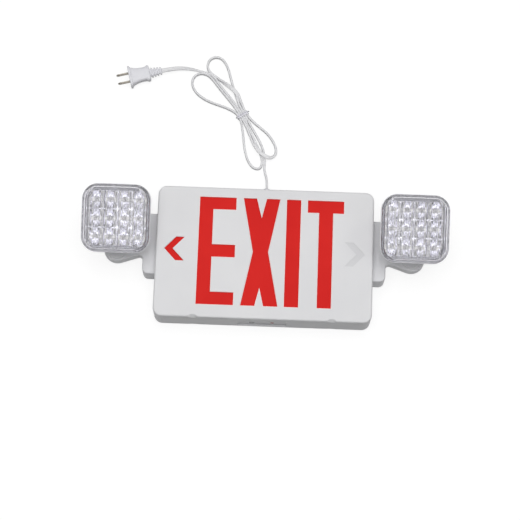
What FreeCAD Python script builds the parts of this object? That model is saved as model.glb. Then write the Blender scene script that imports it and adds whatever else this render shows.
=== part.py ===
import FreeCAD, Part
import math
import os

import Sketcher
from FreeCAD import Placement, Rotation, Vector

# An emergency exit sign with two swivelling lamp heads, lying on its back.
# +Z points out of the legend face, +Y to the sign's top edge, +X to its right.
# The origin is the middle of the back face. All sizes are in millimetres.

SIZES = [
    # the sign's box
    ("sign_width", 300, "housing, side to side"),
    ("sign_height", 186, "housing, bottom to top"),
    ("sign_depth", 46, "back face to legend face"),
    ("corner_radius", 12, "outline corners of the housing"),
    ("wall", 2.2, "moulded wall of the housing and the face plate"),
    ("face_depth", 10, "rim of the face plate"),
    ("front_round", 2.5, "rounding of the face plate's front edge"),
    ("back_round", 1.2, "rounding of the housing's back edge"),
    ("seam_bevel", 0.5, "bevel on each side of the seam"),
    ("tongue_depth", 4, "face plate tongue inside the housing"),
    ("tongue_thick", 1.4, "thickness of that tongue"),
    ("fit_gap", 0.15, "gap between fixed parts that slide together"),
    ("run_gap", 0.05, "radial gap of a turning fit"),
    # knock-out arrows of the face plate
    ("arrow_width", 28, "arrow, tip to tail"),
    ("arrow_height", 34, "arrow, arm to arm"),
    ("arrow_stroke", 12, "arm of an arrow, measured sideways"),
    ("arrow_inset", 11.5, "arrow tip to the side of the sign"),
    ("arrow_rise", 3, "arrow centre above the middle of the face"),
    ("score_depth", 0.5, "scored outline of the arrow still in place"),
    # scoops and the control recess of the bottom edge
    ("scoop_place", 95, "pry scoop from the middle of the sign"),
    ("scoop_width", 19, "pry scoop, side to side"),
    ("scoop_depth", 2.8, "pry scoop depth"),
    ("recess_width", 69, "control recess, side to side"),
    ("recess_height", 24, "control recess, back to front"),
    ("recess_depth", 2.2, "control recess depth"),
    ("recess_wall", 2, "wall behind the control recess"),
    # back wall
    ("key_spacing", 228, "distance between the two keyholes"),
    ("key_rise", 50, "keyholes above the middle"),
    ("key_head", 4.6, "radius of a keyhole's round end"),
    ("key_neck", 2.3, "half width of a keyhole's slot"),
    ("key_drop", 9, "length of a keyhole's slot"),
    ("box_spacing", 88.9, "distance between the two junction box slots"),
    ("box_slot", 12, "length of a junction box slot"),
    ("box_slot_radius", 2.4, "half width of a junction box slot"),
    ("entry_radius", 11, "supply wire entry"),
    ("entry_collar", 2, "collar round the wire entry"),
    # posts inside the housing
    ("post_radius", 3.5, "screw post"),
    ("screw_radius", 1.2, "shank of every screw"),
    ("post_side", 14, "corner posts in from the sides"),
    ("post_end", 14, "corner posts in from the top and bottom"),
    # light box
    ("panel_rise", 27, "reflector panel above the back wall's inner face"),
    ("panel_thick", 1.6, "reflector panel"),
    ("panel_rim", 5, "rim of the reflector panel"),
    ("panel_inset", 4.5, "reflector panel in from the housing's outside"),
    ("legend_thick", 1.2, "red legend diffuser"),
    ("legend_margin", 6, "diffuser in from the housing's outside"),
    ("stake_radius", 1.6, "stake that holds the diffuser"),
    ("stake_length", 2.6, "length of such a stake"),
    ("strip_width", 12, "legend lamp board"),
    ("strip_length", 236, "legend lamp board"),
    ("strip_place", 52, "legend lamp boards above and below the middle"),
    ("board_thick", 1.6, "thickness of every circuit board"),
    ("strip_lamps", 8, "lamps on each legend board"),
    ("lamp_long", 3.5, "small light-emitting lamp, length"),
    ("lamp_wide", 2.8, "small light-emitting lamp, width"),
    ("lamp_tall", 1.6, "small light-emitting lamp, height"),
    # charger board
    ("charger_length", 118, "charger board, side to side"),
    ("charger_width", 70, "charger board, bottom to top"),
    ("charger_rise", 8.5, "charger board above the back wall"),
    ("charger_clear", 9.5, "charger board in from the bottom outside"),
    ("switch_side", 7, "test switch body"),
    ("switch_axis", 4.2, "test switch axis above the board"),
    ("switch_length", 5, "test switch, front to back"),
    ("button_place", 14, "test button and charge light from the middle"),
    ("button_radius", 3.6, "test button"),
    ("button_flange", 5, "flange that keeps the button in"),
    ("button_proud", 1.4, "button above the recess floor"),
    ("button_travel", 1.5, "button travel"),
    ("light_radius", 2.5, "charge light"),
    # battery
    ("cell_radius", 7.2, "battery cell"),
    ("cell_length", 50, "battery cell"),
    ("battery_side", 40.4, "battery in from the right outside"),
    ("battery_clear", 24, "battery in from the top outside"),
    ("strap_thick", 0.8, "battery strap"),
    ("strap_width", 16, "battery strap"),
    ("strap_foot", 9, "foot of the battery strap"),
    # side brackets
    ("wing_width", 18.4, "wing, out from the sign's side"),
    ("wing_depth", 32, "wing and arm, back to front"),
    ("wing_top", 55.8, "top edge of a wing above the middle"),
    ("wing_bottom", 30.7, "bottom edge of a wing below the middle"),
    ("wing_corner", 8, "outer corners of a wing"),
    ("wing_round", 2, "rounding of the wing's front edge"),
    ("wing_wall", 2, "moulded wall of the bracket"),
    ("arm_depth", 14, "thickness of the arm"),
    ("arm_skin", 3, "front wall of the arm"),
    ("arm_round", 3, "rounding of the arm's front edge"),
    ("arm_taper", 19, "slope of the arm's edges, in degrees"),
    ("arm_fillet", 5, "hollow between arm and wing"),
    ("boss_radius", 18.5, "round end of the arm"),
    ("pan_x", 204, "swivel axis from the middle of the sign"),
    ("pan_y", 4, "swivel axis above the middle of the sign"),
    ("cover_thick", 1.5, "cover behind the arm"),
    ("lead_hole", 4, "hole for the lamp wires"),
    # swivel
    ("disc_radius", 15, "swivel disc"),
    ("disc_thick", 2.6, "swivel disc"),
    ("stem_radius", 6, "hollow stem of the swivel"),
    ("stem_bore", 3.6, "wire bore of the stem"),
    ("stem_length", 8, "stem below the arm's front"),
    ("washer_radius", 10, "friction washer"),
    ("washer_thick", 0.8, "friction washer"),
    ("clip_thick", 1, "retaining clip"),
    ("clip_radius", 8.5, "retaining clip"),
    ("groove_depth", 1, "clip groove in the stem"),
    ("hinge_rise", 9, "hinge axis above the arm's front"),
    ("ear_gap", 14, "between the ears of the swivel"),
    ("ear_thick", 4, "each ear"),
    ("ear_radius", 5.5, "round top of ears and lug"),
    ("pin_radius", 2, "hinge bolt"),
    ("pin_head", 3.6, "head of the hinge bolt"),
    ("pin_head_tall", 2.2, "head of the hinge bolt"),
    ("nut_across", 7, "hinge nut across flats"),
    ("nut_thick", 3.2, "hinge nut"),
    ("lug_side_gap", 0.2, "lug to each ear"),
    # lamp head, measured from the hinge axis
    ("rest_tilt", 15, "downward tilt of the heads as they lie, in degrees"),
    ("head_side", 94, "rim of the lamp shell, square"),
    ("head_corner", 22, "corner radius of that rim"),
    ("head_offset", 38.3, "centre of the head above the hinge axis"),
    ("shell_start", 8, "hinge axis to the shell's back"),
    ("shell_taper", 18, "tapered part of the shell"),
    ("shell_rim", 4, "straight rim of the shell"),
    ("shell_back", 82, "back of the shell, square"),
    ("shell_wall", 2, "moulded wall of the shell"),
    ("shell_round", 4, "rounding of the shell's back edge"),
    ("rim_wall", 2.35, "wall of the shell's rim round the lens"),
    ("lens_ledge", 1.4, "ledge in the shell that the lens stands on"),
    ("lens_rise", 12, "lens beyond the shell's rim"),
    ("lens_inset", 0.5, "lens cap inside the rim's outer edge, each side"),
    ("lens_wall", 1.8, "lens wall"),
    ("lens_round", 6, "rounding of the lens's front edge"),
    ("flute_count", 17, "flutes moulded inside the lens"),
    ("flute_height", 0.8, "height of a flute"),
    ("cup_columns", 4, "reflector cups, side to side"),
    ("cup_rows", 3, "reflector cups, bottom to top"),
    ("cup_width", 18.4, "mouth of a cup, side to side"),
    ("cup_height", 24.4, "mouth of a cup, bottom to top"),
    ("cup_base", 6.4, "small end of a cup"),
    ("cup_wall", 0.8, "wall of a cup"),
    ("cup_depth", 18, "depth of a cup"),
    ("tray_gap", 1.7, "reflector tray to the lens"),
    ("tray_thick", 1.2, "reflector tray"),
    # cord
    ("cord_width", 6.2, "flat twin cord, across its width"),
    ("cord_height", 11, "cord outlet above the back face"),
    ("bush_radius", 5.6, "cord bushing in the wall"),
    ("bush_flange", 7.4, "flange of the cord bushing"),
    ("bush_nose", 8, "tapered nose of the bushing"),
    ("plug_length", 30, "moulded plug body with its flange"),
    ("plug_flange", 3.2, "thickness of the plug's flange"),
    ("plug_width", 32, "flange of the plug, side to side"),
    ("plug_tall", 17, "flange of the plug, bottom to top"),
    ("plug_corner", 5, "corners of the plug's flange"),
    ("grip_width", 20, "narrow part of the plug"),
    ("grip_tall", 13.4, "plug body, bottom to top"),
    ("grip_round", 4, "rounding of the plug body"),
    ("relief_length", 18, "ribbed strain relief of the plug"),
    ("relief_width", 15, "rib of the strain relief, side to side"),
    ("relief_tall", 10.4, "rib of the strain relief, bottom to top"),
    ("relief_ribs", 4, "ribs of the strain relief"),
    ("rib_thick", 2.2, "thickness of such a rib"),
    ("blade_length", 17.5, "plug blade outside the plug"),
    ("blade_root", 9, "plug blade inside the plug"),
    ("blade_tall", 6.35, "plug blade"),
    ("blade_thick", 1.5, "plug blade"),
    ("blade_spacing", 12.7, "plug blades, centre to centre"),
    ("hank_tall", 6.6, "height of the tied hank"),
    ("tie_width", 7, "tie round the hank"),
    ("tie_thick", 1.2, "tie round the hank"),
    ("tie_reach", 17, "tie, across the hank"),
]

doc = FreeCAD.newDocument("exit_sign")
sheet = doc.addObject("Spreadsheet::Sheet", "sizes")
for row, (alias, number, note) in enumerate(SIZES, start=1):
    sheet.set(f"A{row}", alias)
    sheet.set(f"B{row}", str(number))
    sheet.setAlias(f"B{row}", alias)
    sheet.set(f"C{row}", note)
doc.recompute()


class Size:
    """A size worked out from the sheet: its number, and the formula that binds it."""

    def __init__(self, number, text):
        self.number = number
        self.text = text

    def joined(self, other, sign, swap=False):
        other = as_size(other)
        first, second = (other, self) if swap else (self, other)
        number = {
            "+": lambda: first.number + second.number,
            "-": lambda: first.number - second.number,
            "*": lambda: first.number * second.number,
            "/": lambda: first.number / second.number,
        }[sign]()
        return Size(number, f"({first.text} {sign} {second.text})")

    def __add__(self, other):
        return self.joined(other, "+")

    def __radd__(self, other):
        return self.joined(other, "+", swap=True)

    def __sub__(self, other):
        return self.joined(other, "-")

    def __rsub__(self, other):
        return self.joined(other, "-", swap=True)

    def __mul__(self, other):
        return self.joined(other, "*")

    def __rmul__(self, other):
        return self.joined(other, "*", swap=True)

    def __truediv__(self, other):
        return self.joined(other, "/")

    def __neg__(self):
        return self.joined(-1, "*")

    def __float__(self):
        return float(self.number)


def as_size(thing):
    return thing if isinstance(thing, Size) else Size(float(thing), f"{float(thing):.9g}")


def named(alias):
    """The size of that name in the sheet."""
    return Size(float(sheet.get(alias)), f"sizes.{alias}")


def sine(angle):
    return Size(math.sin(math.radians(float(angle))), f"sin({angle.text} * 1deg)")


def cosine(angle):
    return Size(math.cos(math.radians(float(angle))), f"cos({angle.text} * 1deg)")


class Sizes:
    """Every named size of the sheet, as an attribute."""

    def __getattr__(self, alias):
        return named(alias)


s = Sizes()


# ---------------------------------------------------------------- helpers

def bind(thing, prop, size):
    """Tie a property to the sheet."""
    thing.setExpression(prop, as_size(size).text)


def bind_place(thing, at, axis=None, angle=0):
    """Place a thing by formulas, turned about an axis."""
    if axis is not None:
        thing.Placement = Placement(Vector(0, 0, 0), Rotation(Vector(*axis), float(as_size(angle))))
        if isinstance(angle, Size):
            bind(thing, "Placement.Rotation.Angle", angle)
    for letter, size in zip("xyz", at):
        bind(thing, f"Placement.Base.{letter}", size)


def check(thing):
    """Stop where a feature has failed."""
    doc.recompute()
    if "Invalid" in thing.State or "Error" in thing.State or thing.Shape.isNull():
        raise RuntimeError(f"{thing.Label} failed: {thing.State}")
    return thing


def volume_of(body):
    """The body's volume, nothing where it has no feature yet."""
    return 0 if body.Tip is None or body.Shape.isNull() else body.Shape.Volume


def origin_plane(body, role):
    for feature in body.Origin.OriginFeatures:
        if feature.Role == role:
            return feature
    raise RuntimeError(f"{body.Label} has no {role}")


def new_body(label):
    body = doc.addObject("PartDesign::Body", label)
    body.Label = label
    return body


def fix_point(sketch, item, end, x, y):
    """Tie one point of a sketch to two formulas."""
    for kind, size in (("DistanceX", x), ("DistanceY", y)):
        size = as_size(size)
        number = sketch.addConstraint(Sketcher.Constraint(kind, -1, 1, item, end, size.number))
        bind(sketch, f"Constraints[{number}]", size)


def draw_polygon(sketch, points):
    """A closed outline of straight lines through points given by formulas."""
    first = sketch.GeometryCount
    flat = [(float(as_size(x)), float(as_size(y))) for x, y in points]
    count = len(points)
    for here, there in zip(flat, flat[1:] + flat[:1]):
        sketch.addGeometry(Part.LineSegment(Vector(*here, 0), Vector(*there, 0)), False)
    for step in range(count):
        following = first + (step + 1) % count
        sketch.addConstraint(Sketcher.Constraint("Coincident", first + step, 2, following, 1))
    for step, (x, y) in enumerate(points):
        fix_point(sketch, first + step, 1, x, y)


def draw_circle(sketch, x, y, radius):
    radius = as_size(radius)
    centre = Vector(float(as_size(x)), float(as_size(y)), 0)
    item = sketch.addGeometry(Part.Circle(centre, Vector(0, 0, 1), radius.number), False)
    fix_point(sketch, item, 3, x, y)
    number = sketch.addConstraint(Sketcher.Constraint("Radius", item, radius.number))
    bind(sketch, f"Constraints[{number}]", radius)


def draw_rounded(sketch, x, y, width, height, radius):
    """A rectangle round (x, y) with rounded corners: four lines and four arcs."""
    x, y, radius = as_size(x), as_size(y), as_size(radius)
    half_x, half_y = as_size(width) / 2, as_size(height) / 2
    first = sketch.GeometryCount
    corners = [(1, 1, 0), (-1, 1, 90), (-1, -1, 180), (1, -1, 270)]
    for sign_x, sign_y, start in corners:
        centre = Vector(
            float(x + sign_x * (half_x - radius)), float(y + sign_y * (half_y - radius)), 0
        )
        circle = Part.Circle(centre, Vector(0, 0, 1), radius.number)
        arc = Part.ArcOfCircle(circle, math.radians(start), math.radians(start + 90))
        sketch.addGeometry(arc, False)
    for step in range(4):
        end = sketch.getPoint(first + step, 2)
        start = sketch.getPoint(first + (step + 1) % 4, 1)
        line = sketch.addGeometry(Part.LineSegment(end, start), False)
        sketch.addConstraint(Sketcher.Constraint("Coincident", first + step, 2, line, 1))
        sketch.addConstraint(
            Sketcher.Constraint("Coincident", first + (step + 1) % 4, 1, line, 2)
        )
    for step, (sign_x, sign_y, start) in enumerate(corners):
        middle_x = x + sign_x * (half_x - radius)
        middle_y = y + sign_y * (half_y - radius)
        fix_point(sketch, first + step, 3, middle_x, middle_y)
        begins_level = start in (0, 180)
        if begins_level:
            fix_point(sketch, first + step, 1, x + sign_x * half_x, middle_y)
            level, size = "DistanceX", middle_x
        else:
            fix_point(sketch, first + step, 1, middle_x, y + sign_y * half_y)
            level, size = "DistanceY", middle_y
        number = sketch.addConstraint(
            Sketcher.Constraint(level, -1, 1, first + step, 2, size.number)
        )
        bind(sketch, f"Constraints[{number}]", size)


def draw_slot(sketch, x, y, length, radius, upright=False):
    """A slot with round ends, end to end along X, or along Y where it is upright."""
    x, y, radius = as_size(x), as_size(y), as_size(radius)
    reach = as_size(length) / 2 - radius
    step_x, step_y = (0, reach) if upright else (reach, 0)
    turn = 0 if upright else -90
    first = sketch.GeometryCount
    ends = [(x + step_x, y + step_y, turn), (x - step_x, y - step_y, turn + 180)]
    for middle_x, middle_y, start in ends:
        circle = Part.Circle(Vector(float(middle_x), float(middle_y), 0), Vector(0, 0, 1), radius.number)
        sketch.addGeometry(
            Part.ArcOfCircle(circle, math.radians(start), math.radians(start + 180)), False
        )
    for step in range(2):
        begin = sketch.getPoint(first + step, 2)
        finish = sketch.getPoint(first + 1 - step, 1)
        line = sketch.addGeometry(Part.LineSegment(begin, finish), False)
        sketch.addConstraint(Sketcher.Constraint("Coincident", first + step, 2, line, 1))
        sketch.addConstraint(Sketcher.Constraint("Coincident", first + 1 - step, 1, line, 2))
    for step, (middle_x, middle_y, _) in enumerate(ends):
        side = 1 if step == 0 else -1
        fix_point(sketch, first + step, 3, middle_x, middle_y)
        if upright:
            fix_point(sketch, first + step, 1, middle_x + side * radius, middle_y)
            number = sketch.addConstraint(
                Sketcher.Constraint("DistanceY", -1, 1, first + step, 2, middle_y.number)
            )
            bind(sketch, f"Constraints[{number}]", middle_y)
        else:
            fix_point(sketch, first + step, 1, middle_x, middle_y - side * radius)
            number = sketch.addConstraint(
                Sketcher.Constraint("DistanceX", -1, 1, first + step, 2, middle_x.number)
            )
            bind(sketch, f"Constraints[{number}]", middle_x)


DRAWERS = {
    "polygon": draw_polygon,
    "circle": draw_circle,
    "rounded": draw_rounded,
    "slot": draw_slot,
}


def new_sketch(body, outlines, level=0, plane="XY_Plane"):
    """A sketch on one of the body's own planes, at a level along its normal."""
    sketch = body.newObject("Sketcher::SketchObject", f"{body.Name}_outline")
    sketch.AttachmentSupport = [(origin_plane(body, plane), "")]
    sketch.MapMode = "FlatFace"
    bind(sketch, "AttachmentOffset.Base.z", level)
    for kind, *numbers in outlines:
        DRAWERS[kind](sketch, *numbers)
    return sketch


def pad(body, outlines, level, length, plane="XY_Plane", middle=False):
    """Material raised from a level along the plane's normal."""
    feature = body.newObject("PartDesign::Pad", f"{body.Name}_pad")
    feature.Profile = new_sketch(body, outlines, level, plane)
    feature.Midplane = middle
    bind(feature, "Length", length)
    return check(feature)


def pocket(body, outlines, level, length, plane="XY_Plane", middle=False):
    """Material cut from a level against the plane's normal."""
    before = volume_of(body)
    feature = body.newObject("PartDesign::Pocket", f"{body.Name}_pocket")
    feature.Profile = new_sketch(body, outlines, level, plane)
    feature.Midplane = middle
    bind(feature, "Length", length)
    check(feature)
    if body.Shape.Volume >= before - 1e-6:
        raise RuntimeError(f"{feature.Label} cuts nothing")
    return feature


def loft(body, lower, upper, low, high, cut=False):
    """A solid, or a hollow, between an outline at one level and one at another."""
    kind = "PartDesign::SubtractiveLoft" if cut else "PartDesign::AdditiveLoft"
    first = new_sketch(body, [lower], low)
    second = new_sketch(body, [upper], high)
    feature = body.newObject(kind, f"{body.Name}_loft")
    feature.Profile = first
    feature.Sections = [second]
    feature.Ruled = True
    return check(feature)


def solid_in(body, kind, sizes, at, axis=None, angle=0, cut=False):
    """A box or a cylinder added to a body, or cut from it."""
    before = volume_of(body)
    name = ("Subtractive" if cut else "Additive") + kind
    feature = body.newObject(f"PartDesign::{name}", f"{body.Name}_{kind.lower()}")
    for prop, size in sizes.items():
        bind(feature, prop, size)
    bind_place(feature, at, axis, angle)
    check(feature)
    change = body.Shape.Volume - before
    if (change > -1e-6) if cut else (change < 1e-6):
        raise RuntimeError(f"{feature.Label} changes nothing")
    return feature


def block(body, x, y, z, width, height, depth, cut=False):
    """A box with its middle at (x, y) and its lowest face at z."""
    sizes = {"Length": width, "Width": height, "Height": depth}
    corner = (as_size(x) - as_size(width) / 2, as_size(y) - as_size(height) / 2, z)
    return solid_in(body, "Box", sizes, corner, cut=cut)


def rod(body, at, radius, length, toward="z", cut=False):
    """A cylinder from a point along +X, +Y or +Z."""
    axis, angle = {"z": (None, 0), "x": ((0, 1, 0), 90), "y": ((1, 0, 0), -90)}[toward]
    return solid_in(body, "Cylinder", {"Radius": radius, "Height": length}, at, axis, angle, cut)


def soften(body, radius, pick, kind="Fillet"):
    """Round or bevel the edges that pick chooses."""
    base = body.Tip
    shape = base.Shape
    chosen = [f"Edge{n}" for n, edge in enumerate(shape.Edges, start=1) if pick(edge)]
    if not chosen:
        raise RuntimeError(f"{body.Label} has no such edge")
    feature = body.newObject(f"PartDesign::{kind}", f"{body.Name}_{kind.lower()}")
    feature.Base = (base, chosen)
    bind(feature, "Radius" if kind == "Fillet" else "Size", radius)
    return check(feature)


NEAR = 0.01


def upright(edge):
    box = edge.BoundBox
    return box.XLength < NEAR and box.YLength < NEAR


def level_at(edge, z):
    box = edge.BoundBox
    return abs(box.ZMin - float(z)) < NEAR and abs(box.ZMax - float(z)) < NEAR


def outer_loop(edge, z, half_x, half_y):
    """Whether an edge lies at height z on the outline of a centred rectangle."""
    box = edge.BoundBox
    reach_x = max(abs(box.XMin), abs(box.XMax))
    reach_y = max(abs(box.YMin), abs(box.YMax))
    on_outline = reach_x > float(half_x) - NEAR or reach_y > float(half_y) - NEAR
    return level_at(edge, z) and on_outline


def part_box(name, x, y, z, width, height, depth):
    """A Part box with its middle at (x, y) and its lowest face at z."""
    thing = doc.addObject("Part::Box", name)
    for prop, size in (("Length", width), ("Width", height), ("Height", depth)):
        bind(thing, prop, size)
    bind_place(thing, (as_size(x) - as_size(width) / 2, as_size(y) - as_size(height) / 2, z))
    return thing


def part_rod(name, at, radius, length, toward="z"):
    """A Part cylinder from a point along +X, +Y or +Z."""
    thing = doc.addObject("Part::Cylinder", name)
    bind(thing, "Radius", radius)
    bind(thing, "Height", length)
    axis, angle = {"z": (None, 0), "x": ((0, 1, 0), 90), "y": ((1, 0, 0), -90)}[toward]
    bind_place(thing, at, axis, angle)
    return thing


def part_cone(name, at, radius, end_radius, length, toward="z"):
    thing = doc.addObject("Part::Cone", name)
    bind(thing, "Radius1", radius)
    bind(thing, "Radius2", end_radius)
    bind(thing, "Height", length)
    axis, angle = {"z": (None, 0), "x": ((0, 1, 0), 90), "y": ((1, 0, 0), -90)}[toward]
    bind_place(thing, at, axis, angle)
    return thing


def joined(name, things):
    thing = doc.addObject("Part::MultiFuse", name)
    thing.Shapes = things
    thing.Refine = True
    return check(thing)


def group(name, things):
    """Separate solids that share one node."""
    thing = doc.addObject("Part::Compound", name)
    thing.Links = things
    return check(thing)


def less(name, base, tool):
    thing = doc.addObject("Part::Cut", name)
    thing.Base = base
    thing.Tool = tool
    thing.Refine = True
    return check(thing)


parts = []


def keep(thing, label=None):
    """Hand a finished sub-part in, under its label."""
    if label:
        thing.Label = label
    parts.append(check(thing))
    return thing


# ---------------------------------------------------------------- shared places

pilot = s.screw_radius + s.run_gap
half_width = s.sign_width / 2
half_height = s.sign_height / 2
housing_depth = s.sign_depth - s.face_depth
floor = s.wall
panel_z = floor + s.panel_rise
charger_z = floor + s.charger_rise
charger_top = charger_z + s.board_thick
charger_y = s.charger_clear + s.charger_width / 2 - half_height
control_z = charger_top + s.switch_axis
recess_floor = s.recess_depth - half_height
recess_inside = recess_floor + s.recess_wall
post_x = half_width - s.post_side
post_y = half_height - s.post_end
legend_z = s.sign_depth - s.wall - s.legend_thick
stake_x = half_width - s.legend_margin - 2 * s.stake_radius - s.wall
stake_y = half_height - s.legend_margin - 2 * s.stake_radius
charger_x = -s.charger_length / 6
charger_post_x = s.charger_length / 2 - 2 * s.post_radius
charger_post_y = s.charger_width / 2 - 2 * s.post_radius
battery_x = half_width - s.battery_side - 3 * s.cell_radius
battery_y = half_height - s.battery_clear - s.cell_length / 2
hinge_z = s.wing_depth + s.hinge_rise
wing_x = half_width + s.wing_width / 2
wing_y = (s.wing_top - s.wing_bottom) / 2
wing_height = s.wing_top + s.wing_bottom
arm_back = s.wing_depth - s.arm_depth
arm_hollow = s.wing_depth - s.arm_skin
wire_z = (arm_back + s.cover_thick + arm_hollow) / 2
side_screw_z = s.wing_depth / 3
side_screw_places = [wing_y - wing_height * 0.32, wing_y + wing_height * 0.38]
SIDES = (-1, 1)
CORNERS = [(x, y) for x in SIDES for y in SIDES]


# ---------------------------------------------------------------- the sign's box

def arrow(side):
    """Outline of a knock-out arrow that points to that side of the face."""
    tip = side * (half_width - s.arrow_inset)
    bend = tip - side * (s.arrow_width - s.arrow_stroke)
    inner = tip - side * s.arrow_stroke
    tail = tip - side * s.arrow_width
    top = s.arrow_rise + s.arrow_height / 2
    bottom = s.arrow_rise - s.arrow_height / 2
    return (
        "polygon",
        [(tip, s.arrow_rise), (bend, top), (tail, top),
         (inner, s.arrow_rise), (tail, bottom), (bend, bottom)],
    )


def make_housing():
    """The back housing: a deep tray with its posts, ribs, recess and mounting holes."""
    body = new_body("back_housing")
    outside = ("rounded", 0, 0, s.sign_width, s.sign_height, s.corner_radius)
    inside = ("rounded", 0, 0, s.sign_width - 2 * s.wall, s.sign_height - 2 * s.wall,
              s.corner_radius - s.wall)
    pad(body, [outside], 0, housing_depth)
    soften(body, s.back_round, lambda edge: outer_loop(edge, 0, half_width, half_height))
    soften(body, s.seam_bevel,
           lambda edge: outer_loop(edge, housing_depth, half_width, half_height), "Chamfer")
    pocket(body, [inside], housing_depth, housing_depth - floor)

    panel_posts = [("circle", x * post_x, y * post_y, s.post_radius) for x, y in CORNERS]
    pad(body, panel_posts, floor, s.panel_rise)
    board_posts = [
        ("circle", charger_x + x * charger_post_x, charger_y + y * charger_post_y, s.post_radius)
        for x, y in CORNERS
    ]
    pad(body, board_posts, floor, s.charger_rise)
    pilots = [("circle", x * post_x, y * post_y, pilot) for x, y in CORNERS]
    pocket(body, pilots, panel_z, s.panel_rise - s.wall)
    pilots = [
        ("circle", charger_x + x * charger_post_x, charger_y + y * charger_post_y, pilot)
        for x, y in CORNERS
    ]
    pocket(body, pilots, charger_z, s.charger_rise)

    strap_x = s.cell_radius * 3 + s.strap_foot / 2 + s.strap_thick
    strap_posts = [
        ("circle", battery_x + x * strap_x, battery_y, s.post_radius) for x in SIDES
    ]
    pad(body, strap_posts, floor, s.wall)
    pilots = [("circle", battery_x + x * strap_x, battery_y, pilot) for x in SIDES]
    pocket(body, pilots, floor + s.wall, s.wall)
    for side in SIDES:
        block(body, battery_x, battery_y + side * (s.cell_length / 2 + s.wall / 2 + s.fit_gap),
              floor, s.cell_radius * 6, s.wall, s.cell_radius)

    stiff_y = half_height - s.wall
    for side in SIDES:
        for place in SIDES:
            block(body, place * s.sign_width / 4, side * (stiff_y - s.post_end / 4), floor,
                  s.wall * 0.7, s.post_end / 2, s.panel_rise - s.panel_rim)

    back_block = s.recess_width + 2 * s.recess_depth + 2 * s.wall
    thick = s.recess_depth + s.recess_wall - s.wall
    block(body, 0, recess_inside - thick / 2, floor, back_block, thick,
          control_z + s.recess_height / 2 + s.wall - floor)
    mouth = s.recess_width / 2
    inner = mouth - s.recess_depth
    beyond = -half_height - s.recess_depth
    wide = mouth + s.recess_depth
    recess = ("polygon", [(-wide, beyond), (wide, beyond), (inner, recess_floor),
                          (-inner, recess_floor)])
    pocket(body, [recess], control_z + s.recess_height / 2, s.recess_height)
    rod(body, (-s.button_place, recess_floor - s.wall, control_z),
        s.button_radius + s.run_gap, s.recess_wall + 2 * s.wall, "y", cut=True)
    rod(body, (s.button_place, recess_floor - s.wall, control_z),
        s.light_radius + s.run_gap, s.recess_wall + 2 * s.wall, "y", cut=True)

    scoop_radius = (s.scoop_width * s.scoop_width / 4 + s.scoop_depth * s.scoop_depth) / (
        2 * s.scoop_depth)
    for side in SIDES:
        rod(body, (side * s.scoop_place, -half_height - s.wall, s.scoop_depth - scoop_radius),
            scoop_radius, 1.8 * s.wall, "y", cut=True)

    pad(body, [("circle", 0, 0, s.entry_radius + s.entry_collar)], floor, s.entry_collar)
    through = floor + s.entry_collar
    pocket(body, [("circle", 0, 0, s.entry_radius)], through, through)
    key_x = s.key_spacing / 2
    pocket(body, [("circle", x * key_x, s.key_rise, s.key_head) for x in SIDES], floor, floor)
    pocket(body, [("slot", x * key_x, s.key_rise + s.key_drop / 2,
                   s.key_drop + 2 * s.key_neck, s.key_neck, True) for x in SIDES],
           floor, floor)
    pocket(body, [("slot", x * s.box_spacing / 2, 0, s.box_slot, s.box_slot_radius)
                  for x in SIDES], floor, floor)
    for side in SIDES:
        rod(body, (side * half_width - 2 * s.wall, s.pan_y, wire_z), s.lead_hole,
            4 * s.wall, "x", cut=True)
        for y in side_screw_places:
            rod(body, (side * half_width - 2 * s.wall, y, side_screw_z), pilot,
                4 * s.wall, "x", cut=True)
    rod(body, (0, half_height - 2 * s.wall, s.cord_height), s.bush_radius + s.run_gap,
        4 * s.wall, "y", cut=True)
    return keep(body)


def make_face_plate():
    """The face plate: a shallow cap with a tongue, one arrow open and one only scored."""
    body = new_body("face_plate")
    outside = ("rounded", 0, 0, s.sign_width, s.sign_height, s.corner_radius)
    inside = ("rounded", 0, 0, s.sign_width - 2 * s.wall, s.sign_height - 2 * s.wall,
              s.corner_radius - s.wall)
    pad(body, [outside], housing_depth, s.face_depth)
    soften(body, s.front_round,
           lambda edge: outer_loop(edge, s.sign_depth, half_width, half_height))
    soften(body, s.seam_bevel,
           lambda edge: outer_loop(edge, housing_depth, half_width, half_height), "Chamfer")
    loose = s.wall + s.fit_gap
    tight = loose + s.tongue_thick
    tongue = ("rounded", 0, 0, s.sign_width - 2 * loose, s.sign_height - 2 * loose,
              s.corner_radius - loose)
    hollow = ("rounded", 0, 0, s.sign_width - 2 * tight, s.sign_height - 2 * tight,
              s.corner_radius - tight)
    pad(body, [tongue], housing_depth - s.tongue_depth, s.tongue_depth)
    front_inside = s.sign_depth - s.wall
    pocket(body, [hollow], front_inside, s.face_depth + s.tongue_depth - s.wall)
    stakes = [("circle", x * stake_x, y * stake_y, s.stake_radius) for x, y in CORNERS]
    stakes += [("circle", 0, y * stake_y, s.stake_radius) for y in SIDES]
    pad(body, stakes, front_inside - s.stake_length, s.stake_length)
    pocket(body, [arrow(-1)], s.sign_depth, s.wall)
    pocket(body, [arrow(1)], s.sign_depth, s.score_depth)
    scoop_radius = (s.scoop_width * s.scoop_width / 4 + s.scoop_depth * s.scoop_depth) / (
        2 * s.scoop_depth)
    middle = (scoop_radius - s.scoop_depth) * math.sqrt(0.5)
    reach = 4 * s.scoop_depth
    for side in SIDES:
        start_y = -half_height - middle - reach * math.sqrt(0.5)
        start_z = s.sign_depth + middle - reach * math.sqrt(0.5)
        sizes = {"Radius": scoop_radius, "Height": 2 * reach}
        solid_in(body, "Cylinder", sizes, (side * s.scoop_place, start_y, start_z),
                 (1, 0, 0), -45, cut=True)
    return keep(body)


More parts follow.
